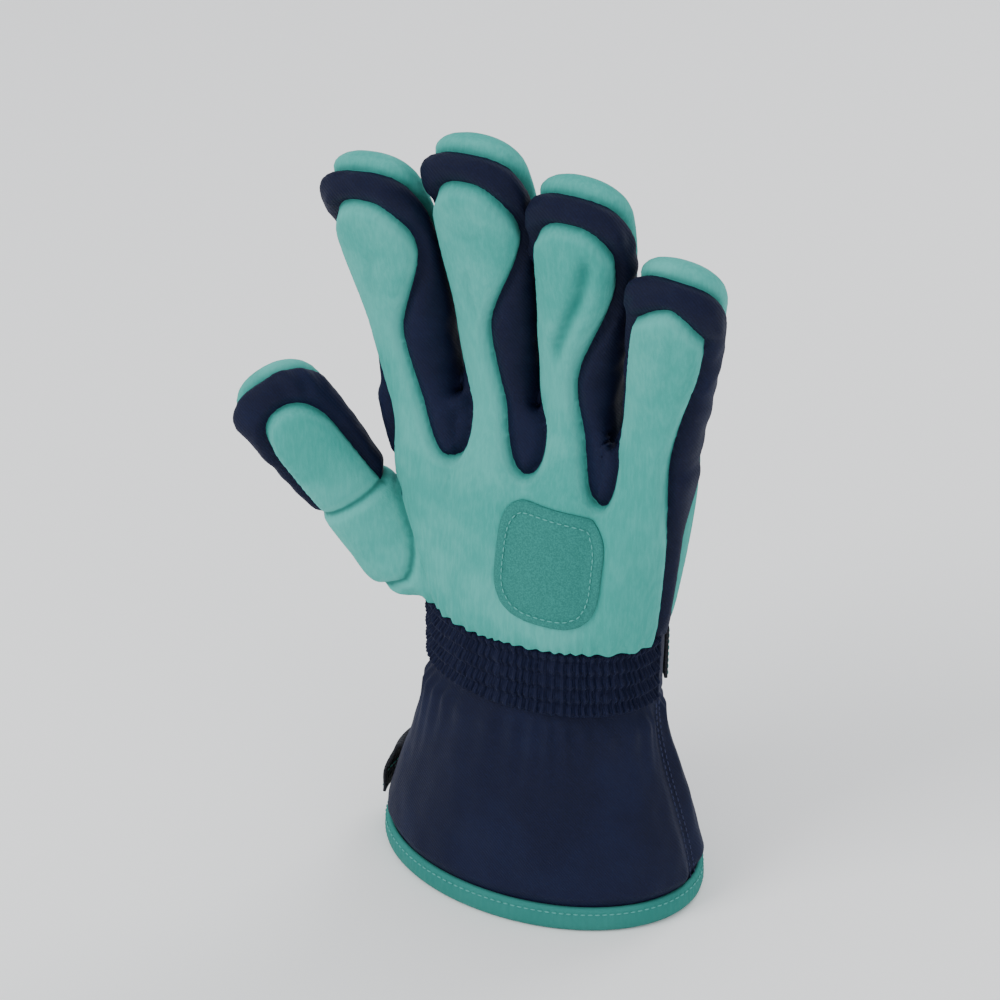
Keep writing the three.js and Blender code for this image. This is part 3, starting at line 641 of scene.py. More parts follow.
class Skin:
    """The hand's outside, cut along its seams, and everything that is needed to put pieces on it."""

    def __init__(self, sizes):
        points, triangles = base_skin(0.0, SKIN_VOXEL)
        labels = np.zeros((len(triangles), 0), dtype=int)
        seam = np.zeros(len(points), dtype=bool)
        rounds = []
        for which in range(6):
            fields = seam_fields(points)
            low = points[:, 2] - (WRIST_TOP + 0.3 * MM)
            field = [fields[0], fields[1], fields[2], fields[3], fields[4], low][which]
            before = len(points)
            points, triangles, labels, field = cut_along(points, triangles, labels, field)
            seam = np.concatenate([seam, np.zeros(len(points) - before, dtype=bool)])
            if which in (0, 1, 4):
                on_cut = np.zeros(len(points), dtype=bool)
                edges = edges_of(triangles)
                flat = (field[edges[:, 0]] == 0) & (field[edges[:, 1]] == 0)
                on_cut[edges[flat].ravel()] = True
                if which < 2:
                    _, _, ts, thumb = in_thumb(points)
                    on_cut &= (thumb < 0) | (ts > THUMB_START - 1 * MM)
                seam |= on_cut
            rounds.append(field)
        inside = labels[:, 5] > 0
        triangles, labels = triangles[inside], labels[inside]
        self.labels = labels
        self.triangles = triangles
        used = np.zeros(len(points), dtype=bool)
        used[triangles.ravel()] = True
        self.seam = seam & used
        self.rest = points
        self.puff(sizes)

    def puff(self, sizes):
        """Sinks the seams, swells the padding between them, and adds the folds that wear has left."""
        points, triangles = self.rest, self.triangles
        normals = normals_of(points, triangles)
        seam_points = points[self.seam]
        tree = kdtree.KDTree(len(seam_points))
        for i, p in enumerate(seam_points):
            tree.insert(p, i)
        tree.balance()
        away = np.array([tree.find(p)[2] for p in points])
        pick, x, y, s, _ = nearest_digit(points)
        _, _, ts, in_column = in_thumb(points)
        thumb = in_column > 0
        along = np.where(thumb, ts, s)
        outer = (pick == 0) & (x < 0) | (pick == 3) & (x > 0)
        side = (1 - np.clip(np.abs(normals[:, 1]) * 1.5, 0, 1)) * smooth((s + 14 * MM) / (8 * MM)) * ~outer
        room = lerp(1, smooth((s - 4 * MM) / (40 * MM)), side)
        room = np.where(thumb, lerp(0.45, 1, smooth((ts - THUMB_START) / (14 * MM))), room)
        swell = sizes.puff * smooth(away / sizes.puff_reach) ** 0.7 * room
        valley = -sizes.seam_depth * np.exp(-((away / sizes.seam_width) ** 2)) * lerp(0.45, 1, room)
        ridge = 0.35 * MM * np.exp(-(((away - 2.6 * MM) / (1.1 * MM)) ** 2)) * room
        move = swell + valley + ridge
        front, back, *_ = seam_fields(points)
        navy = (np.maximum(front, back) < 0) & (along > 6 * MM)
        tip = smooth((along - 0.72 * np.array([d.length for d in DIGITS])[np.where(thumb, 4, pick)]) / (10 * MM))
        fold = np.sin(y / (0.85 * MM) + 1.5 * np.sin(x / (5 * MM) + pick * 2.1)) * tip
        crumple = np.array([noise.noise(Vector(p) * 140) for p in points])
        move += navy * smooth(away / (4 * MM)) * (0.6 * MM * fold * np.clip(crumple + 0.7, 0, 1) + 0.8 * MM * crumple)
        broad = np.array([noise.noise(Vector(p) * 34 + Vector((3.1, 0.4, 7.7))) for p in points])
        move += 0.7 * MM * broad * smooth(away / (8 * MM)) * room
        dents = self.dents(pick, x, s, thumb, front)
        move += dents
        gathers = np.exp(-np.maximum(0, points[:, 2] - WRIST_TOP) / (9 * MM))
        angle = np.arctan2(points[:, 1] - AXIS[1], points[:, 0] - AXIS[0])
        move += gathers * (0.8 * MM * np.sin(angle * 46 + 2.2 * np.sin(angle * 7)) - 1.6 * MM * gathers)
        tree = tree_of(points, triangles)
        for i in np.nonzero((along > -6 * MM) & (move > 0))[0]:
            out = Vector(normals[i])
            hit = tree.ray_cast(Vector(points[i]) + out * 0.2 * MM, out, 14 * MM)[3]
            if hit is not None:
                move[i] = min(move[i], max(0.0, hit / 2 - 0.35 * MM))
        # How deep each dent is, from 0 to 1, which the teal cloth turns into painted shade.
        self.crease = np.clip(-dents / DEEP_CREASE, 0, 1)
        points = points + normals * move[:, None]
        self.points = relaxed(points, triangles, 1, 0.3)
        self.normals = normals_of(self.points, triangles)
        self.away = away

    def dents(self, pick, x, s, thumb, front):
        """Soft creases where the padding is crushed, as lines across a front panel in x and distance along."""
        lines = {
            "ring": [((6, 80), (5.5, 70), (3, 58), (-1, 46), (-4.5, 34), (-5.5, 24), 2.5, 3.4)],
            "middle": [((-8, 74), (0, 70), (8, 74), 1.6, 0.5), ((-2, 34), (-4, 48), (-2, 58), 2.0, 1.0)],
            "index": [((-3, 42), (-2, 54), (2, 66), 2.0, 0.8)],
            "little": [((2, 66), (3, 50), (1, 34), 1.9, 0.5)],
        }
        move = np.zeros(len(x))
        for i, digit in enumerate(DIGITS[:4]):
            mine = (pick == i) & ~thumb & (front > 0)
            for *path, width, deep in lines[digit.name]:
                path = np.array(path) * MM
                t = np.linspace(0, 1, 40)
                knots = np.linspace(0, 1, len(path))
                px, ps = (np.interp(t, knots, path[:, k]) for k in (0, 1))
                gap = np.full(len(x), 1.0)
                end = np.zeros(len(x))
                for u, v, w in zip(px, ps, t):
                    d = np.hypot(x - u, s - v)
                    end = np.where(d < gap, np.minimum(w, 1 - w), end)
                    gap = np.minimum(gap, d)
                fade = smooth(end * 4 + 0.1) * smooth(front / (3 * MM))
                shape = np.exp(-((gap / (width * MM)) ** 2)) - 0.35 * np.exp(-((gap / (width * 2.4 * MM)) ** 2))
                move -= mine * deep * MM * shape * fade
        return move

    def piece(self, name, chosen, sizes):
        fields = {"seam_distance": self.away, "crease": self.crease}
        mesh = shell_mesh(name, self.points, self.normals, self.triangles[chosen], sizes.cloth, fields)
        return new_object(name, mesh)

    def tree(self):
        return tree_of(self.points, self.triangles)


def bend_with(piece, digit):
    """Bakes a digit's piece's transform into its mesh. The hinge's ends above its root, low and high, are worked out
    but not used, and the piece does not turn about them.
    """
    low = digit.place @ Vector((0, digit.front, digit.start))
    high = digit.place @ Vector((0, digit.front, digit.start + BEND_SPAN))
    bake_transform(piece)


# ---- Slabs, strips and pads -----------------------------------------------------------------------------------


def grid_sheet(name, grid, thickness, bevel, offset=-1.0, wrap=False):
    """A sheet of cloth over a grid of points, with rounded edges."""
    rows, columns = grid.shape[:2]
    faces = []
    for r in range(rows - 1):
        for c in range(columns if wrap else columns - 1):
            d = (c + 1) % columns
            faces.append((r * columns + c, r * columns + d, (r + 1) * columns + d, (r + 1) * columns + c))
    mesh = mesh_from(name, grid.reshape(-1, 3), faces)
    layer = mesh.uv_layers.new(name="UVMap")
    step_u = np.linalg.norm(np.diff(grid, axis=1), axis=-1).mean()
    step_v = np.linalg.norm(np.diff(grid, axis=0), axis=-1).mean()
    for polygon in mesh.polygons:
        r, c = divmod(polygon.index, columns if wrap else columns - 1)
        for k, (dr, dc) in enumerate(((0, 0), (0, 1), (1, 1), (1, 0))):
            layer.data[polygon.loop_start + k].uv = ((c + dc) * step_u, (r + dr) * step_v)
    shade_smooth(mesh)
    made = new_object(name, mesh)
    thick = made.modifiers.new("thickness", "SOLIDIFY")
    thick.thickness = thickness
    thick.offset = offset
    thick.use_even_offset = False
    if bevel:
        edge = made.modifiers.new("edge", "BEVEL")
        edge.width = bevel
        edge.segments = 3
        edge.limit_method = "ANGLE"
        edge.angle_limit = math.radians(50)
    return applied(made)


def wrist_grid(angles, heights, out, columns, rows):
    """Points round the sleeve, between two angles and two heights. out(angle, height share) is how far they stand
    outside it."""
    angle = np.linspace(*angles, columns)
    share = np.linspace(0, 1, rows)
    grid = np.empty((rows, columns, 3))
    for r, t in enumerate(share):
        z = np.full(columns, lerp(*heights, t))
        grid[r] = sleeve(angle, z, -out(angle, t))
    return grid


def pad_on(tree, name, outline, side, thickness, rings, around, dome, sunk=None):
    """A pad with a rounded outline on the front (side -1) or back (side 1) of the hand. outline(angle, share) gives
    x and z; sunk(x, z) sinks its top."""
    angles = np.arange(around) / around * 2 * math.pi
    shares = np.concatenate([np.linspace(0.06, 0.9, rings), [0.95, 0.985, 1.0]])
    lower, upper = [], []
    for share in shares:
        flat = np.array([outline(a, share) for a in angles])
        for x, z in flat:
            hit, normal, *_ = tree.ray_cast(Vector((x, side * 0.2, z)), Vector((0, -side, 0)))
            if hit is None:
                raise RuntimeError(f"{name}: no cloth below it at {x:.4f}, {z:.4f}")
            if normal.y * side < 0:
                normal = -normal
            edge = math.sqrt(max(0.0, 1 - max(0.0, (share - 0.9) / 0.1) ** 2))
            top = thickness * (0.35 + 0.65 * edge) + dome * (1 - share**2.5)
            if sunk is not None:
                top -= min(sunk(x, z), top - 0.3 * MM) * edge
            lower.append(np.array(hit) + np.array(normal) * 0.15 * MM)
            upper.append(np.array(hit) + np.array(normal) * (0.15 * MM + top))
    upper, lower = np.array(upper), np.array(lower)
    rows = len(shares)
    points = list(upper) + list(lower) + [upper[:around].mean(axis=0), lower[:around].mean(axis=0)]
    faces = []
    n = rows * around
    for r in range(rows - 1):
        for c in range(around):
            d = (c + 1) % around
            a, b, e, f = r * around + c, r * around + d, (r + 1) * around + d, (r + 1) * around + c
            faces += [(a, b, e, f), (n + f, n + e, n + b, n + a)]
    for c in range(around):
        d = (c + 1) % around
        last = (rows - 1) * around
        faces += [(c, 2 * n, d), (n + d, 2 * n + 1, n + c), (last + c, last + d, n + last + d, n + last + c)]
    made = new_object(name, mesh_from(name, points, faces))
    faces_out(made.data)
    shade_smooth(made.data)
    return made, upper.reshape(rows, around, 3)


# ---- Shaders --------------------------------------------------------------------------------------------------


class Value:
    """A socket that takes part in arithmetic: each operator adds the Math node that it needs."""

    def __init__(self, cloth, socket):
        self.cloth = cloth
        self.socket = socket

    def _math(self, operation, *values):
        return self.cloth.node("ShaderNodeMath", {"operation": operation}, *values)

    def __add__(self, other):
        return self._math("ADD", self, other)

    def __sub__(self, other):
        return self._math("SUBTRACT", self, other)

    def __mul__(self, other):
        return self._math("MULTIPLY", self, other)

    def __truediv__(self, other):
        return self._math("DIVIDE", self, other)

    def __rsub__(self, other):
        return self._math("SUBTRACT", other, self)

    __radd__ = __add__
    __rmul__ = __mul__

    def __pow__(self, other):
        return self._math("POWER", self, other)

    def clamped(self):
        return self.cloth.node("ShaderNodeMath", {"operation": "ADD", "use_clamp": True}, self, 0.0)

    def above(self, low, high):
        """0 below low, 1 above high, and smooth between."""
        settings = {"interpolation_type": "SMOOTHSTEP"}
        return self.cloth.node("ShaderNodeMapRange", settings, self, low, high)


class Finish:
    """A material: a Principled shader, and the nodes that feed it."""

    def __init__(self, name, roughness, sheen=0.0, sheen_tint=(1, 1, 1), specular=0.5):
        self.material = bpy.data.materials.new(f"glove_{name}")
        self.material.use_nodes = True
        self.nodes = self.material.node_tree.nodes
        self.links = self.material.node_tree.links
        self.shader = self.nodes["Principled BSDF"]
        self.shader.inputs["Roughness"].default_value = roughness
        self.shader.inputs["Sheen Weight"].default_value = sheen
        self.shader.inputs["Sheen Roughness"].default_value = 0.45
        self.shader.inputs["Sheen Tint"].default_value = (*sheen_tint, 1)
        self.shader.inputs["Specular IOR Level"].default_value = specular
        self.place = self.node("ShaderNodeTexCoord", {}, output="Object")

    def node(self, kind, settings, *values, output=None, **named):
        """Adds a node: settings first, then the values or links of its sockets, in order or by name."""
        made = self.nodes.new(kind)
        for key, value in settings.items():
            setattr(made, key, value)
        slots = list(zip(made.inputs, values)) + [(made.inputs[key.replace("_", " ")], v) for key, v in named.items()]
        for socket, value in slots:
            if isinstance(value, Value):
                self.links.new(value.socket, socket)
            elif value is not None:
                socket.default_value = value
        return Value(self, made.outputs[output] if output else made.outputs[0])

    def noise(self, scale, detail=3.0, roughness=0.5, place=None):
        settings = {"noise_dimensions": "3D"}
        place = place or self.place
        values = {"Vector": place, "Scale": scale, "Detail": detail, "Roughness": roughness}
        return self.node("ShaderNodeTexNoise", settings, **values)

    def stretched(self, scale, place=None):
        return self.node("ShaderNodeMapping", {"vector_type": "POINT"}, place or self.place, Scale=scale)

    def blend(self, share, a, b):
        """Colour a where share is 0 and b where it is 1."""
        made = self.nodes.new("ShaderNodeMix")
        made.data_type = "RGBA"
        for key, value in ((0, share), (6, a), (7, b)):
            if isinstance(value, Value):
                self.links.new(value.socket, made.inputs[key])
            else:
                made.inputs[key].default_value = (*value, 1) if key else value
        return Value(self, made.outputs[2])

    def attribute(self, name):
        return self.node("ShaderNodeAttribute", {"attribute_type": "GEOMETRY", "attribute_name": name}, output="Fac")

    def colour(self, value):
        self.links.new(value.socket, self.shader.inputs["Base Color"])

    def rough(self, value):
        self.links.new(value.socket, self.shader.inputs["Roughness"])

    def bump(self, height, distance, strength=1.0):
        made = self.node("ShaderNodeBump", {}, Strength=strength, Distance=distance, Height=height)
        self.links.new(made.socket, self.shader.inputs["Normal"])
        return self.material


def scaled(colour, share):
    return tuple(c * share for c in colour)


def teal_cloth(colours):
    """Softshell with a nap brushed one way in some places and the other way in others, with painted shade in the seam
    valleys and creases and a painted highlight on the raised rims beside the seams.
    """
    f = Finish("teal_cloth", 0.82, sheen=0.04, sheen_tint=(0.6, 0.95, 0.9), specular=0.15)
    brushed = f.noise(26, 3, 0.55)
    streaks = f.noise(1.0, 4, 0.6, place=f.stretched((900, 900, 160)))
    grain = f.noise(2300, 2, 0.6)
    # Painted shade: the teal is darkened within 1.6 mm of a seam, in the valley where the seam is sunk.
    edge = 1.0 - f.attribute("seam_distance").above(0.0, 1.6 * MM)
    # Painted highlight: the teal is lightened on the raised rim 1 to 5 mm beside a seam, where the cloth rolls up.
    seam_rim_highlight = f.attribute("seam_distance").above(0.9 * MM, 2.2 * MM) * (
        1.0 - f.attribute("seam_distance").above(2.6 * MM, 5.0 * MM)
    )
    share = (brushed.above(0.42, 0.62) * 0.55 + streaks.above(0.35, 0.7) * 0.3 + seam_rim_highlight * 0.35).clamped()
    # The colour of the painted shade in the seam valleys.
    dark = scaled(colours.teal, 0.55)
    tone = f.blend(share, tuple(colours.teal), tuple(colours.teal_light))
    # Painted shade in the creases: the teal is darkened by the depth of each dent.
    crease_shade = tuple(c * k for c, k in zip(colours.teal, (0.25, 0.55, 0.55)))
    tone = f.blend(f.attribute("crease") * 0.8, tone, crease_shade)
    # The painted seam shade is laid over the tone here.
    f.colour(f.blend(edge * 0.85, tone, dark))
    f.rough(0.78 + 0.14 * grain)
    return f.bump(grain * 0.5 + streaks * 0.6 + brushed * 0.4, 0.00035, 0.55)


def navy_cloth(colours):
    """Stretch cloth with a fine diagonal twill."""
    f = Finish("navy_cloth", 0.7, sheen=0.01, sheen_tint=(0.3, 0.4, 1.0), specular=0.16)
    lines = f.node("ShaderNodeTexWave", {"bands_direction": "DIAGONAL"}, Vector=f.place, Scale=420.0, Distortion=2.2)
    grain = f.noise(1500, 3, 0.6)
    worn = f.noise(30, 3, 0.5)
    share = (lines * 0.25 + grain.above(0.4, 0.7) * 0.4 + worn.above(0.45, 0.65) * 0.3).clamped()
    f.colour(f.blend(share, tuple(colours.navy), tuple(colours.navy_light)))
    f.rough(0.62 + 0.2 * grain)
    return f.bump(lines * 0.35 + grain * 0.7, 0.00025, 0.6)


def patch_cloth(colours):
    """Grip cloth with rows of small moulded dots."""
    f = Finish("patch_cloth", 0.7, specular=0.3)
    cells = f.node(
        "ShaderNodeTexVoronoi", {"feature": "F1"}, Vector=f.stretched((1, 0.05, 1)), Scale=340.0, Randomness=0.0
    )
    dot = 1.0 - cells.above(0.26, 0.36)
    grain = f.noise(1800, 3, 0.6)
    dark = scaled(colours.teal, 0.5)
    base = f.blend(grain.above(0.35, 0.7), dark, scaled(colours.teal, 0.75))
    f.colour(f.blend(dot, base, scaled(colours.teal, 0.28)))
    f.rough(0.85 - 0.35 * dot)
    return f.bump(dot * 1.0 + grain * 0.25, 0.0006, 0.8)


def fleece_cloth(colours):
    """Brushed fleece, with small tufts."""
    f = Finish("fleece", 0.95, sheen=0.08, sheen_tint=(0.5, 0.6, 1.0), specular=0.1)
    tufts = f.node("ShaderNodeTexVoronoi", {"feature": "SMOOTH_F1"}, Vector=f.place, Scale=620.0, Smoothness=0.6)
    hairs = f.noise(2600, 4, 0.7)
    light = scaled(colours.fleece, 2.2)
    f.colour(f.blend((hairs * 0.7 + tufts * 0.5).clamped(), tuple(colours.fleece), light))
    return f.bump(hairs * 0.8 - tufts * 0.9, 0.0009, 0.9)


def woven_tape(colours, name="webbing", tone=None, pitch=0.0016):
    """Flat woven tape, whose weave follows the piece's own UV map."""
    f = Finish(name, 0.75, specular=0.25)
    tone = tuple(tone or colours.webbing)
    uv = f.node("ShaderNodeUVMap", {"uv_map": "UVMap"})
    across = f.node("ShaderNodeTexWave", {"bands_direction": "X"}, Vector=uv, Scale=0.314 / pitch, Distortion=0.3)
    along = f.node("ShaderNodeTexWave", {"bands_direction": "Y"}, Vector=uv, Scale=0.314 / pitch, Distortion=0.3)
    fibre = f.noise(2400, 2, 0.6)
    weave = across * 0.55 + along * 0.45
    f.colour(f.blend((weave * 0.6 + fibre * 0.5).clamped(), scaled(tone, 0.45), scaled(tone, 2.0)))
    f.rough(0.6 + 0.25 * fibre)
    return f.bump(weave + fibre * 0.3, 0.00035, 0.8)


def elastic_cloth(colours):
    """Fine knit over elastic thread."""
    f = Finish("elastic", 0.72, sheen=0.01, sheen_tint=(0.3, 0.4, 1.0), specular=0.16)
    uv = f.node("ShaderNodeUVMap", {"uv_map": "UVMap"})
    ribs = f.node("ShaderNodeTexWave", {"bands_direction": "X"}, Vector=uv, Scale=330.0, Distortion=0.8)
    grain = f.noise(1900, 3, 0.6)
    f.colour(f.blend((ribs * 0.5 + grain * 0.4).clamped(), tuple(colours.navy), tuple(colours.navy_light)))
    return f.bump(ribs * 0.6 + grain * 0.5, 0.0003, 0.7)


def fastener_tape(colours):
    """Hook-and-loop tape: rows of stubble."""
    f = Finish("fastener_tape", 0.85, sheen=0.1, specular=0.2)
    stubble = f.node("ShaderNodeTexVoronoi", {"feature": "F1"}, Vector=f.place, Scale=1100.0, Randomness=0.7)
    f.colour(f.blend(stubble.above(0.1, 0.7), (0.03, 0.03, 0.035), (0.006, 0.006, 0.008)))
    return f.bump(1.0 - stubble, 0.0006, 1.0)


def soft_rubber(colours):
    """Moulded rubber, slightly chalky where it is handled."""
    f = Finish("rubber", 0.5, specular=0.45)
    worn = f.noise(160, 4, 0.6)
    grain = f.noise(2600, 2, 0.5)
    base = scaled(colours.teal, 0.55)
    f.colour(f.blend(worn.above(0.45, 0.75), base, scaled(base, 1.25)))
    f.rough(0.42 + 0.3 * worn)
    return f.bump(grain, 0.0001, 0.5)


def moulded_plastic(colours):
    """Hard plastic with a fine spark-eroded grain."""
    f = Finish("ring_plastic", 0.4, specular=0.5)
    grain = f.noise(3200, 2, 0.6)
    scuffs = f.noise(90, 5, 0.7)
    base = tuple(colours.plastic)
    f.colour(f.blend(scuffs.above(0.5, 0.8), base, scaled(base, 2.4)))
    f.rough(0.34 + 0.25 * scuffs)
    return f.bump(grain, 0.00008, 0.6)


def label_cloth(colours):
    """Plain satin tape."""
    f = Finish("label_cloth", 0.6, specular=0.4)
    threads = f.node("ShaderNodeTexWave", {"bands_direction": "Z"}, Vector=f.place, Scale=700.0, Distortion=0.5)
    grain = f.noise(900, 3, 0.6)
    f.colour(f.blend((threads * 0.4 + grain * 0.4).clamped(), (0.62, 0.62, 0.59), (0.80, 0.80, 0.77)))
    return f.bump(threads, 0.00012, 0.6)


def thread(colours):
    f = Finish("thread", 0.6, specular=0.4)
    twist = f.noise(4200, 1, 0.5)
    dark = scaled(colours.teal, 0.8)
    f.colour(f.blend(twist, dark, tuple(colours.teal_light)))
    return f.bump(twist, 0.00008, 0.6)


def dark_thread(colours):
    f = Finish("dark_thread", 0.6, specular=0.4)
    twist = f.noise(4200, 1, 0.5)
    f.colour(f.blend(twist, scaled(colours.navy, 1.5), scaled(colours.navy_light, 3)))
    return f.bump(twist, 0.00008, 0.6)


def floor_finish(colours):
    f = Finish("floor", 0.9, specular=0.1)
    cloudy = f.noise(3, 2, 0.5)
    f.colour(f.blend(cloudy, tuple(colours.floor), tuple(min(1, c * 1.015) for c in colours.floor)))
    return f.material


FINISHES = {
    "teal_cloth": teal_cloth,
    "navy_cloth": navy_cloth,
    "patch_cloth": patch_cloth,
    "fleece": fleece_cloth,
    "webbing": woven_tape,
    "elastic": elastic_cloth,
    "fastener_tape": fastener_tape,
    "rubber": soft_rubber,
    "ring_plastic": moulded_plastic,
    "label_cloth": label_cloth,
    "thread": thread,
    "dark_thread": dark_thread,
    "floor": floor_finish,
}


MADE = {}


def finish(name):
    """The material of that name, made the first time it is asked for."""
    if name not in MADE:
        MADE[name] = FINISHES[name](bpy.context.scene.glove_colours)
    return MADE[name]


def dress(piece, material, body="hand", slot=None, nodes=(), padded=None):
    """Gives a piece its material, attaches it to its body unless the body is a digit, whose piece only has its
    transform baked, and hides the CAD nodes that it stands for. The slot is not used.
    """
    piece.data.materials.clear()
    piece.data.materials.append(finish(material))
    if isinstance(body, Digit):
        bend_with(piece, body)
    else:
        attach(piece, body)
    slot or material
    if nodes:
        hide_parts(*nodes)
    return piece


# ---- Stitches -------------------------------------------------------------------------------------------------


def stitch_tree():
    """Geometry Nodes that lay short threads end to end along a line."""
    tree = bpy.data.node_groups.new("stitches", "GeometryNodeTree")
    sockets = tree.interface
    sockets.new_socket("Geometry", in_out="INPUT", socket_type="NodeSocketGeometry")
    for name, default in (("Pitch", 0.0026), ("Length", 0.0019), ("Thickness", 0.00055)):
        made = sockets.new_socket(name, in_out="INPUT", socket_type="NodeSocketFloat")
        made.default_value = default
        made.subtype = "DISTANCE"
    sockets.new_socket("Material", in_out="INPUT", socket_type="NodeSocketMaterial")
    sockets.new_socket("Geometry", in_out="OUTPUT", socket_type="NodeSocketGeometry")
    nodes, links = tree.nodes, tree.links

    def add(kind, **settings):
        made = nodes.new(kind)
        for key, value in settings.items():
            setattr(made, key, value)
        return made

    given = add("NodeGroupInput")
    curve = add("GeometryNodeMeshToCurve")
    even = add("GeometryNodeResampleCurve", mode="LENGTH")
    tangent = add("GeometryNodeInputTangent")
    turn = add("FunctionNodeAlignRotationToVector", axis="X")
    size = add("ShaderNodeCombineXYZ")
    bead = add("GeometryNodeMeshIcoSphere")
    bead.inputs["Radius"].default_value = 0.5
    bead.inputs["Subdivisions"].default_value = 2
    instance = add("GeometryNodeInstanceOnPoints")
    realize = add("GeometryNodeRealizeInstances")
    dressed = add("GeometryNodeSetMaterial")
    out = add("NodeGroupOutput")
    for a, b in (
        (given.outputs["Geometry"], curve.inputs["Mesh"]),
        (curve.outputs["Curve"], even.inputs["Curve"]),
        (given.outputs["Pitch"], even.inputs["Length"]),
        (even.outputs["Curve"], instance.inputs["Points"]),
        (bead.outputs["Mesh"], instance.inputs["Instance"]),
        (tangent.outputs["Tangent"], turn.inputs["Vector"]),
        (turn.outputs["Rotation"], instance.inputs["Rotation"]),
        (given.outputs["Length"], size.inputs["X"]),
        (given.outputs["Thickness"], size.inputs["Y"]),
        (given.outputs["Thickness"], size.inputs["Z"]),
        (size.outputs["Vector"], instance.inputs["Scale"]),
        (instance.outputs["Instances"], realize.inputs["Geometry"]),
        (realize.outputs["Geometry"], dressed.inputs["Geometry"]),
        (given.outputs["Material"], dressed.inputs["Material"]),
        (dressed.outputs["Geometry"], out.inputs["Geometry"]),
    ):
        links.new(a, b)
    return tree


def stitches(name, lines, sizes, material="thread", body="hand", thickness=0.00055, slot="teal_cloth"):
    """Stitches along lines of points. A line whose last point is its first is closed."""
    points, edges = [], []
    for line in lines:
        start = len(points)
        points += [tuple(p) for p in line]
        edges += [(start + i, start + i + 1) for i in range(len(line) - 1)]
    mesh = bpy.data.meshes.new(name)
    mesh.from_pydata(points, edges, [])
    made = new_object(name, mesh)
    modifier = made.modifiers.new("stitches", "NODES")
    modifier.node_group = bpy.data.node_groups.get("stitches") or stitch_tree()
    wanted = {
        "Pitch": sizes.stitch,
        "Length": sizes.stitch * 0.74,
        "Thickness": thickness,
        "Material": finish(material),
    }
    for item in modifier.node_group.interface.items_tree:
        if item.in_out == "INPUT" and item.name in wanted:
            modifier[item.identifier] = wanted[item.name]
    applied(made)
    shade_smooth(made.data)
    return dress(made, material, body, slot=slot)


# ---- Pieces ---------------------------------------------------------------------------------------------------

BUILT = {}  # the skin, kept for the operators that put pieces on it


def skin():
    if "skin" not in BUILT:
        BUILT["skin"] = Skin(bpy.context.scene.glove_sizes)
        BUILT["tree"] = BUILT["skin"].tree()
    return BUILT["skin"]


class GLOVE_OT_stage(bpy.types.Operator):
    """Makes the floor, the lights and the camera"""

    bl_idname = "glove.stage"
    bl_label = "Floor, Lights and Camera"

    def execute(self, context):
        scene = context.scene
        profile = [(0.001, 0), (0.5, 0), (1.5, 0), (2.4, 0)]
        profile += [(2.4 + 1.6 * math.sin(a), 1.6 - 1.6 * math.cos(a)) for a in np.linspace(0.1, math.pi / 2, 14)]
        turns = np.arange(96) / 96 * 2 * math.pi
        rings = [[(r * math.cos(a), r * math.sin(a), z) for a in turns] for r, z in profile]
        faces = []
        for r in range(len(rings) - 1):
            for c in range(96):
                d = (c + 1) % 96
                faces.append((r * 96 + c, (r + 1) * 96 + c, (r + 1) * 96 + d, r * 96 + d))
        faces.append(tuple(range(96)))
        mesh = mesh_from("floor", np.array(rings).reshape(-1, 3), faces)
        shade_smooth(mesh)
        floor = new_object("floor", mesh)
        floor.data.materials.append(finish("floor"))
        world = bpy.data.worlds.new("studio")
        world.use_nodes = True
        sky = world.node_tree.nodes["Background"]
        sky.inputs["Color"].default_value = (0.93, 0.95, 1.0, 1)
        sky.inputs["Strength"].default_value = 1.05
        scene.world = world
        middle = (Vector(CAD_BOX[0]) + Vector(CAD_BOX[1])) / 2
        for name, place, size, power in (
            ("key", (-0.75, -1.0, 1.25), 0.7, 15),
            ("fill", (1.2, -0.7, 0.6), 0.9, 3),
            ("back", (0.3, 1.1, 1.2), 0.6, 7),
        ):
            light = bpy.data.lights.new(name, "AREA")
            light.size = size
            light.energy = power
            lamp = bpy.data.objects.new(name, light)
            scene.collection.objects.link(lamp)
            lamp.location = place
            lamp.rotation_euler = (middle - Vector(place)).to_track_quat("-Z", "Y").to_euler()
        lens = bpy.data.cameras.new("camera")
        lens.lens = 100
        lens.clip_start = 0.05
        camera = bpy.data.objects.new("camera", lens)
        scene.collection.objects.link(camera)
        azimuth, elevation, distance = math.radians(26), math.radians(31), 0.98
        away = Vector(
            (
                math.sin(azimuth) * math.cos(elevation),
                -math.cos(azimuth) * math.cos(elevation),
                math.sin(elevation),
            )
        )
        aim = middle + Vector((0, 0, 0.002))
        camera.location = aim + away * distance
        camera.rotation_euler = (-away).to_track_quat("-Z", "Y").to_euler()
        scene.camera = camera
        return {"FINISHED"}


class GLOVE_OT_digits(bpy.types.Operator):
    """Makes the front, back and gusset of each finger and the thumb"""

    bl_idname = "glove.digits"
    bl_label = "Fingers and Thumb"

    def execute(self, context):
        sizes = context.scene.glove_sizes
        whole = skin()
        front, back, above, thumb, _ = (whole.labels[:, k] > 0 for k in range(5))
        middle = whole.points[whole.triangles].mean(axis=1)
        pick = nearest_digit(middle)[0]
        for i, digit in enumerate(DIGITS):
            mine = thumb if digit is THUMB else above & ~thumb & (pick == i)
            names = {
                "front_panel": (mine & front, "teal_cloth", ("front_panel", "insulation"), 0.7),
                "back_panel": (mine & back & ~front, "teal_cloth", ("back_panel",), 0.7),
                "gusset": (mine & ~front & ~back, "navy_cloth", ("inner_gusset", "outer_gusset"), 0.6),
            }
            for part, (chosen, material, nodes, fill) in names.items():
                piece = whole.piece(f"{digit.name}_{part}_sewn", chosen, sizes)
                dress(piece, material, digit, nodes=[f"{digit.name}_{n}" for n in nodes], padded=fill)
        return {"FINISHED"}


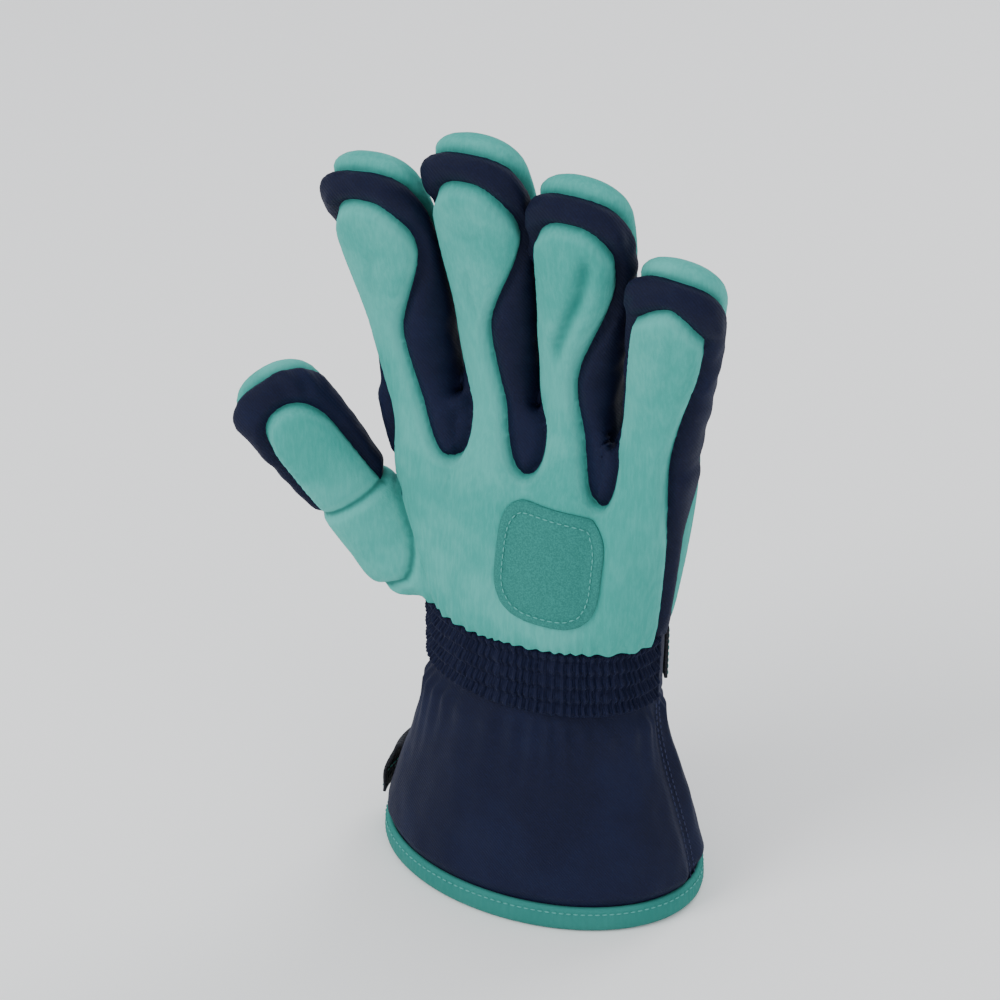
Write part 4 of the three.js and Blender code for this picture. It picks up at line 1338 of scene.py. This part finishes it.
class GLOVE_OT_hand(bpy.types.Operator):
    """Makes the palm, the back of the hand, its sides and the thumb's base"""

    bl_idname = "glove.hand"
    bl_label = "Hand"

    def execute(self, context):
        sizes = context.scene.glove_sizes
        whole = skin()
        front, back, above, thumb, base = (whole.labels[:, k] > 0 for k in range(5))
        rest = ~above & ~thumb
        names = {
            "palm": (rest & ~base & front, "teal_cloth", ("palm_panel", "palm_insulation"), 0.6),
            "hand_back": (
                rest & ~base & back & ~front,
                "teal_cloth",
                ("hand_back_panel", "hand_back_insulation"),
                0.6,
            ),
            "hand_sides": (
                rest & ~base & ~front & ~back,
                "navy_cloth",
                ("index_side_panel", "little_side_panel"),
                0.5,
            ),
            "thumb_base": (rest & base, "teal_cloth", ("thumb_base_panel",), 0.7),
        }
        for part, (chosen, material, nodes, fill) in names.items():
            piece = whole.piece(f"{part}_sewn", chosen, sizes)
            dress(piece, material, "hand", nodes=nodes, padded=fill)
        return {"FINISHED"}


class GLOVE_OT_lining(bpy.types.Operator):
    """Makes the fleece lining of the hand and its digits"""

    bl_idname = "glove.lining"
    bl_label = "Lining"

    def execute(self, context):
        points, triangles = base_skin(6.4 * MM, 2.4 * MM)
        labels = np.zeros((len(triangles), 0), dtype=int)
        for which in range(3):
            _, _, digits, thumb, _ = seam_fields(points)
            field = [digits, thumb, points[:, 2] - (WRIST_TOP - 2 * MM)][which]
            points, triangles, labels, _ = cut_along(points, triangles, labels, field)
        labels = labels > 0
        normals = normals_of(points, triangles)
        pick = nearest_digit(points[triangles].mean(axis=1))[0]
        for i, digit in enumerate(DIGITS):
            mine = labels[:, 1] if digit is THUMB else labels[:, 0] & ~labels[:, 1] & (pick == i)
            name = f"{digit.name}_lining_sewn"
            piece = new_object(name, shell_mesh(name, points, normals, triangles[mine], 0.8 * MM))
            dress(piece, "fleece", digit, nodes=(f"{digit.name}_lining",))
        mine = labels[:, 2] & ~labels[:, 0] & ~labels[:, 1]
        piece = new_object("hand_lining", shell_mesh("hand_lining", points, normals, triangles[mine], 0.8 * MM))
        dress(piece, "fleece", "hand", nodes=("palm_lining", "hand_back_lining"))
        return {"FINISHED"}


def knuckle_pad(tree, gaps):
    """A padded band over the knuckles, sewn down between them, and the line of its stitches."""
    columns, rows = 150, 34
    across = np.linspace(-1, 1, columns)
    across = np.sign(across) * (1 - (1 - np.abs(across)) ** 1.15)
    up = np.sin(np.linspace(-1, 1, rows) * math.pi / 2)
    upper, lower = [], []
    for v in up:
        for u in across:
            x = u * KNUCKLE_HALF
            z = KNUCKLE_HEIGHT + v * KNUCKLE_TALL * (1 - abs(u) ** 6) ** 0.5 - KNUCKLE_ARC * u * u - 0.05 * x
            x += KNUCKLE_MIDDLE
            hit, normal, *_ = tree.ray_cast(Vector((x, 0.2, z)), Vector((0, -1, 0)))
            if hit is None:
                raise RuntimeError(f"knuckle pad: no cloth below it at {x:.4f}, {z:.4f}")
            if normal.y < 0:
                normal = -normal
            edge = min(1 - abs(v), (1 - abs(u)) * 3.2)
            near = min(abs(x - gap) for gap in gaps)
            rise = float(smooth(edge * 3.4 - 0.45)) * (1 - math.exp(-((near / (4.2 * MM)) ** 2)))
            top = KNUCKLE_HEM + KNUCKLE_LOFT * rise**0.75
            if abs(edge) < 1e-9:
                top = 0.25 * MM
            lower.append(np.array(hit) + np.array(normal) * 0.1 * MM)
            upper.append(np.array(hit) + np.array(normal) * (0.1 * MM + top))
    n = rows * columns
    faces = []
    for r in range(rows - 1):
        for c in range(columns - 1):
            a = r * columns + c
            faces.append((a, a + 1, a + columns + 1, a + columns))
            faces.append((n + a + columns, n + a + columns + 1, n + a + 1, n + a))
    ring = [(0, c) for c in range(columns)] + [(r, columns - 1) for r in range(1, rows)]
    ring += [(rows - 1, c) for c in range(columns - 2, -1, -1)] + [(r, 0) for r in range(rows - 2, 0, -1)]
    ring = [r * columns + c for r, c in ring]
    for a, b in zip(ring, ring[1:] + ring[:1]):
        faces.append((b, a, n + a, n + b))
    made = new_object("knuckle_pad_sewn", mesh_from("knuckle_pad_sewn", upper + lower, faces))
    faces_out(made.data, merge=1e-6)
    shade_smooth(made.data)
    top = np.array(upper).reshape(rows, columns, 3)
    low, high, left, right = 2, rows - 3, 5, columns - 6
    sides = top[low, left:right], top[low:high, right], top[high, right:left:-1], top[high:low:-1, left]
    line = np.concatenate(sides)
    return made, np.concatenate([line, line[:1]]) + np.array([0, 0.15 * MM, 0])


class GLOVE_OT_pads(bpy.types.Operator):
    """Makes the grip patch on the palm and the knuckle pad on the back"""

    bl_idname = "glove.pads"
    bl_label = "Patch and Knuckle Pad"

    def execute(self, context):
        sizes = context.scene.glove_sizes
        skin()
        tree = BUILT["tree"]

        def patch_outline(angle, share):
            c, s = math.cos(angle), math.sin(angle)
            x = math.copysign(abs(c) ** 0.55, c) * (19 + 1.5 * s) * MM * share
            z = math.copysign(abs(s) ** 0.55, s) * 22 * MM * share
            return 31 * MM + x + 0.06 * z, 146 * MM + z - 0.1 * x

        patch, top = pad_on(tree, "palm_patch_sewn", patch_outline, -1, 1.3 * MM, 14, 96, 0.5 * MM)
        dress(patch, "patch_cloth", "hand", nodes=("palm_patch",), padded=0.3)
        out = np.array([0, -0.25 * MM, 0])
        line = top[12] + out
        stitches("palm_patch_stitches", [np.concatenate([line, line[:1]])], sizes)

        knuckles = [digit.place @ Vector((0, 2 * digit.front, 0)) for digit in DIGITS[:4]]
        gaps = [(a.x + b.x) / 2 for a, b in zip(knuckles, knuckles[1:])]
        pad, line = knuckle_pad(tree, gaps)
        dress(pad, "navy_cloth", "hand", nodes=("knuckle_pad",), padded=0.8)
        stitches("knuckle_pad_stitches", [line], sizes, "dark_thread", slot="navy_cloth")
        return {"FINISHED"}


class GLOVE_OT_cuff(bpy.types.Operator):
    """Makes the cuff's two panels, its lining, its hem tape and the hem's stitches"""

    bl_idname = "glove.cuff"
    bl_label = "Cuff"

    def execute(self, context):
        sizes = context.scene.glove_sizes
        halves = {"palm": (179.85, 360.15), "back": (-0.15, 180.15)}
        for half, angles in halves.items():
            low, high = angles

            def panel_out(angle, t, low=low, high=high):
                edge = np.minimum(angle - low, high - angle) / 180
                seam = smooth(edge * 16) * smooth(t * 11) * smooth((1 - t) * 9)
                pleat = np.sin(np.radians(angle) * 34 + 2.4 * np.sin(np.radians(angle) * 5)) * t**5 * 1.1
                soft = np.array([noise.noise(Vector((a * 0.035, t * 2.4, low))) for a in angle])
                ripple = np.array([noise.noise(Vector((a * 0.11, t * 7, low + 3))) for a in angle])
                return (-1.4 + 2.6 * seam + pleat * seam + 1.9 * soft * seam + 0.5 * ripple * seam - 1.2 * t**8) * MM

            grid = wrist_grid(angles, (HEM_TAPE - 1 * MM, CUFF_TOP - 0.3 * MM), panel_out, 200, 90)
            panel = grid_sheet(f"cuff_{half}_sewn", grid, 2.0 * MM, 0.5 * MM)
            dress(panel, "navy_cloth", "hand", nodes=(f"cuff_{half}_panel",), padded=0.4)

            def lining_out(angle, t):
                soft = np.array([noise.noise(Vector((a * 0.05, t * 4, 9))) for a in angle])
                return (-2.9 + 0.5 * soft) * MM

            grid = wrist_grid(angles, (4 * MM, CUFF_TOP + 1 * MM), lining_out, 120, 40)
            lining = grid_sheet(f"cuff_{half}_fleece", grid, 1.6 * MM, 0.4 * MM)
            dress(lining, "fleece", "hand", nodes=(f"cuff_{half}_lining",))

            profile = [(-5.2, 9.6), (-5.5, 8.2), (-5.5, 3.9), (-5.2, 2.2), (-4.4, 1.2), (-2.8, 0.3), (-1.2, 0.1)]
            profile += [(0.1, 0.4), (0.9, 1.5), (1.25, 3.2), (1.3, 6.5), (1.1, 8.6), (0.5, 9.9), (-0.5, 10.2)]
            rows = []
            angle = np.linspace(low - 0.1, high + 0.1, 240)
            for k, (out, z) in enumerate(profile):
                pucker = 0.16 * MM * np.sin(np.radians(angle) * 130) * (9 <= k <= 11)
                row = sleeve(angle, np.full(240, z * MM), -(out * MM) - pucker)
                rows.append(row)
            tape = grid_sheet(f"cuff_{half}_hem_sewn", np.array(rows), 0.9 * MM, 0.0)
            dress(tape, "teal_cloth", "hand", nodes=(f"cuff_{half}_hem",))
            lines = [sleeve(angle, np.full(240, 8.2 * MM), -1.35 * MM)]
            stitches(f"cuff_{half}_hem_stitches", lines, sizes)
        return {"FINISHED"}


class GLOVE_OT_trim(bpy.types.Operator):
    """Makes the cuff's pull tab, its blank label and the stitches along its seams"""

    bl_idname = "glove.trim"
    bl_label = "Pull Tab, Label and Cuff Seams"

    def execute(self, context):
        sizes = context.scene.glove_sizes
        path = [(0.5, z) for z in np.linspace(13, 34.5, 12)]
        path += [(1.9 - 1.4 * math.cos(a), 34.5 + 1.8 * math.sin(a)) for a in np.linspace(0.3, math.pi - 0.3, 8)]
        path += [(3.3 + 1.5 * math.sin(t * math.pi) ** 2, 34.5 - 21.5 * t) for t in np.linspace(0, 1, 14)]
        angle = np.linspace(180 + 11, 180 - 11, 16)
        rows = np.array([sleeve(angle, np.full(16, z * MM), -out * MM) for out, z in path])
        tab = grid_sheet("cuff_pull_tab_sewn", rows[::-1], 1.2 * MM, 0.35 * MM, offset=0)
        dress(tab, "webbing", "hand", nodes=("cuff_pull_tab",))
        box = [(188, 15), (172, 15), (172, 21), (188, 21), (188, 15), (172, 21)]
        line = [sleeve(a, z * MM, -4.35 * MM) for a, z in box]
        stitches("pull_tab_stitches", [line], sizes)

        angle = np.linspace(90 - 11.1, 90 + 11.1, 24)
        rows = np.array([sleeve(angle, np.full(24, z * MM), 4.9 * MM) for z in np.linspace(45, 60, 14)])
        label = grid_sheet("care_label_sewn", rows, 0.5 * MM, 0.15 * MM, offset=0)
        dress(label, "label_cloth", "hand", nodes=("care_label",))
        corners = [(79.8, 46), (100.2, 46), (100.2, 59), (79.8, 59), (79.8, 46)]
        line = [sleeve(a, z * MM, 5.2 * MM) for a, z in corners]
        stitches("label_stitches", [line], sizes, thickness=0.0003, slot="label_cloth")

        lines = []
        for angle in (-2.4, 2.4, 177.4, 182.6):
            heights = np.linspace(11, 82, 40) * MM
            lines.append([sleeve(angle, z, 0.25 * MM) for z in heights])
        stitches("cuff_seam_stitches", lines, sizes, "dark_thread", thickness=0.00045, slot="navy_cloth")
        return {"FINISHED"}


class GLOVE_OT_wrist(bpy.types.Operator):
    """Makes the shirred elastic and the plain band of the wrist"""

    bl_idname = "glove.wrist"
    bl_label = "Wrist"

    def execute(self, context):
        def shirred(angle, t):
            rows = 0.5 - 0.5 * math.cos(t * 5 * 2 * math.pi)
            edge = float(smooth(min(t, 1 - t) * 12))
            turn = np.radians(angle)
            wander = np.array([noise.noise(Vector((a * 0.3, t * 5, 2))) for a in angle])
            gather = np.sin(turn * 92 + 1.7 * wander + 1.1 * np.sin(turn * 13))
            return (-2.2 + 1.5 * rows * edge + (0.45 + 0.35 * rows) * gather * edge + 0.9 * edge) * MM

        grid = wrist_grid((180.3, 359.7), (CUFF_TOP - 0.5 * MM, WRIST_TOP + 1.2 * MM), shirred, 620, 61)
        piece = grid_sheet("wrist_elastic_sewn", grid, 2.2 * MM, 0.0)
        dress(piece, "elastic", "hand", nodes=("wrist_elastic",), padded=0.3)

        def plain(angle, t):
            edge = float(smooth(min(t, 1 - t) * 10))
            soft = np.array([noise.noise(Vector((a * 0.06, t * 2, 6))) for a in angle])
            return (-2.3 + 2.2 * edge + 0.35 * soft * edge) * MM

        grid = wrist_grid((0.3, 179.7), (CUFF_TOP - 0.5 * MM, WRIST_TOP + 1.2 * MM), plain, 160, 30)
        piece = grid_sheet("wrist_band_sewn", grid, 2.4 * MM, 0.0)
        dress(piece, "navy_cloth", "hand", nodes=("wrist_back_band", "wrist_back_padding"), padded=0.4)
        return {"FINISHED"}


def strap_strip(name, path, levels, thickness, rows=16, bevel=0.4 * MM):
    """A band whose outside follows a path of (x, y) points, between two heights."""
    path = np.array(path)
    grid = np.empty((rows, len(path), 3))
    for r, z in enumerate(np.linspace(*levels, rows)):
        grid[r, :, :2] = path
        grid[r, :, 2] = z
    return grid_sheet(name, grid, thickness, bevel)


class GLOVE_OT_strap(bpy.types.Operator):
    """Makes the wrist strap, its ring and its pull"""

    bl_idname = "glove.strap"
    bl_label = "Strap"

    def execute(self, context):
        sizes = context.scene.glove_sizes
        middle = (CUFF_TOP + WRIST_TOP) / 2
        levels = (middle - 11 * MM, middle + 11 * MM)
        bar = 2.2 * MM
        fold = bar * math.sqrt(0.5) + 1.7 * MM  # to the outside of the band where it turns round a bar
        foot = sleeve(128, middle, -(0.3 * MM + fold - bar / 2))
        out = np.array([(foot[0] - AXIS[0]) / WRIST[0] ** 2, (foot[1] - AXIS[1]) / WRIST[1] ** 2, 0])
        out /= np.linalg.norm(out)
        along = np.cross([0, 0, 1], out)

        def arc(low, high, outside, count=50):
            return [sleeve(a, middle, -outside * MM)[:2] for a in np.linspace(low, high, count)]

        def round_bar(at, low, high, radius=fold, count=16):
            turns = np.radians(np.linspace(low, high, count))
            centre = foot + along * at + out * bar / 2
            return [(centre + (along * math.cos(a) + out * math.sin(a)) * radius)[:2] for a in turns]

        near, far = -5.9 * MM, 5.9 * MM
        band = dict(levels=levels, thickness=1.4 * MM)
        base = strap_strip("strap_webbing_sewn", arc(18, 114.5, 1.7), **band)
        dress(base, "webbing", "hand", nodes=("strap_webbing",))
        anchor = arc(151, 140, 3.4, 10) + round_bar(far, 90, 270) + arc(136, 151, 0.35, 10)
        anchor = strap_strip("strap_anchor_sewn", anchor[::-1], **band)
        dress(anchor, "webbing", "hand", nodes=("strap_anchor",))
        tab = strap_strip("strap_tab_sewn", arc(52, 119, 6.8) + round_bar(near, 90, -90), **band)
        dress(tab, "webbing", "strap", nodes=("strap_tab", "strap_fold"))
        inner = (levels[0] + 1 * MM, levels[1] - 1 * MM)
        loop = strap_strip("strap_loop_sewn", arc(56, 106, 3.4), inner, 1.4 * MM, bevel=0.3 * MM)
        dress(loop, "fastener_tape", "hand", nodes=("strap_loop_pad",))
        hook = strap_strip("strap_hook_sewn", arc(58, 104, 5.1), inner, 1.3 * MM, bevel=0.3 * MM)
        dress(hook, "fastener_tape", "strap", nodes=("strap_hook_pad",))
        ridged = []
        for k, point in enumerate(arc(50, 66, 8.2, 65)):
            t = k / 64
            rise = 0.45 * MM * max(0.0, math.sin(t * 5.5 * 2 * math.pi)) * smooth(min(t, 1 - t) * 9)
            outward = np.array([(point[0] - AXIS[0]) / WRIST[0] ** 2, (point[1] - AXIS[1]) / WRIST[1] ** 2])
            ridged.append(point + outward / np.linalg.norm(outward) * rise)
        pull = strap_strip("strap_pull_moulded", ridged, levels, 1.1 * MM)
        dress(pull, "rubber", "strap", nodes=("strap_pull",))

        corner = 1.6 * MM
        half = np.array([7 * MM - bar / 2, 14.2 * MM - bar / 2])
        path, inward = [], []
        for k, (sx, sy) in enumerate(((1, 1), (-1, 1), (-1, -1), (1, -1))):
            for a in np.radians(np.linspace(90 * k, 90 * k + 90, 8)):
                c, s = math.cos(a), math.sin(a)
                path.append((sx * (half[0] - corner) + corner * c, sy * (half[1] - corner) + corner * s))
                inward.append((c, s))
        rings = []
        for (x, y), (nx, ny) in zip(path, inward):
            ring = []
            for a in np.arange(16) / 16 * 2 * math.pi:
                c, s = math.cos(a), math.sin(a)
                u = math.copysign(abs(c) ** 0.6, c) * bar / 2
                v = math.copysign(abs(s) ** 0.6, s) * bar / 2 + bar / 2
                ring.append(foot + along * (x + nx * u) + np.array([0, 0, 1]) * (y + ny * u) + out * v)
            rings.append(ring)
        rings = np.array(rings)
        count = len(rings)
        faces = []
        for r in range(count):
            for c in range(16):
                a, b = r * 16, (r + 1) % count * 16
                d = (c + 1) % 16
                faces.append((a + c, a + d, b + d, b + c))
        ring = new_object("strap_ring_moulded", mesh_from("strap_ring_moulded", rings.reshape(-1, 3), faces))
        edit = bmesh.new()
        edit.from_mesh(ring.data)
        bmesh.ops.recalc_face_normals(edit, faces=edit.faces)
        edit.to_mesh(ring.data)
        edit.free()
        ring.data.polygons.foreach_set("use_smooth", np.ones(len(ring.data.polygons), dtype=bool))
        dress(ring, "ring_plastic", "hand", nodes=("strap_ring",))

        def sewn(low, high, z_low, z_high, outside):
            corners = [(low, z_low), (high, z_low), (high, z_high), (low, z_high), (low, z_low)]
            line = []
            for (a, z), (b, w) in zip(corners, corners[1:]):
                for t in np.arange(12) / 12:
                    line.append(sleeve(lerp(a, b, t), middle + lerp(z, w, t) * MM, -outside * MM))
            return [*line, line[0]]

        stitches("strap_tab_stitches", [sewn(67.5, 104, -9, 9, 6.85)], sizes, body="strap", slot="webbing")
        bases = [sewn(20, 32, -9, 9, 1.75), sewn(142, 149.5, -9, 9, 3.45)]
        stitches("strap_base_stitches", bases, sizes, slot="webbing")
        return {"FINISHED"}


class GLOVE_PT_panel(bpy.types.Panel):
    """Sizes, colours and pieces of the glove"""

    bl_label = "Padded Ski Glove"
    bl_idname = "GLOVE_PT_panel"
    bl_space_type = "VIEW_3D"
    bl_region_type = "UI"
    bl_category = "Ski Glove"

    def draw(self, context):
        layout = self.layout
        for settings in (context.scene.glove_sizes, context.scene.glove_colours):
            box = layout.box()
            for name in settings.__annotations__:
                box.prop(settings, name)
        for operator in OPERATORS:
            layout.operator(operator.bl_idname)


OPERATORS = (
    GLOVE_OT_stage,
    GLOVE_OT_digits,
    GLOVE_OT_hand,
    GLOVE_OT_lining,
    GLOVE_OT_pads,
    GLOVE_OT_cuff,
    GLOVE_OT_trim,
    GLOVE_OT_wrist,
    GLOVE_OT_strap,
)
CLASSES = (GloveColours, GloveSizes, *OPERATORS, GLOVE_PT_panel)


def register():
    for made in CLASSES:
        bpy.utils.register_class(made)
    bpy.types.Scene.glove_colours = bpy.props.PointerProperty(type=GloveColours)
    bpy.types.Scene.glove_sizes = bpy.props.PointerProperty(type=GloveSizes)


def unregister():
    del bpy.types.Scene.glove_sizes
    del bpy.types.Scene.glove_colours
    for made in reversed(CLASSES):
        bpy.utils.unregister_class(made)


def main():
    register()
    for operator in OPERATORS:
        group, name = operator.bl_idname.split(".")
        getattr(getattr(bpy.ops, group), name)()


if __name__ == "__main__":
    main()
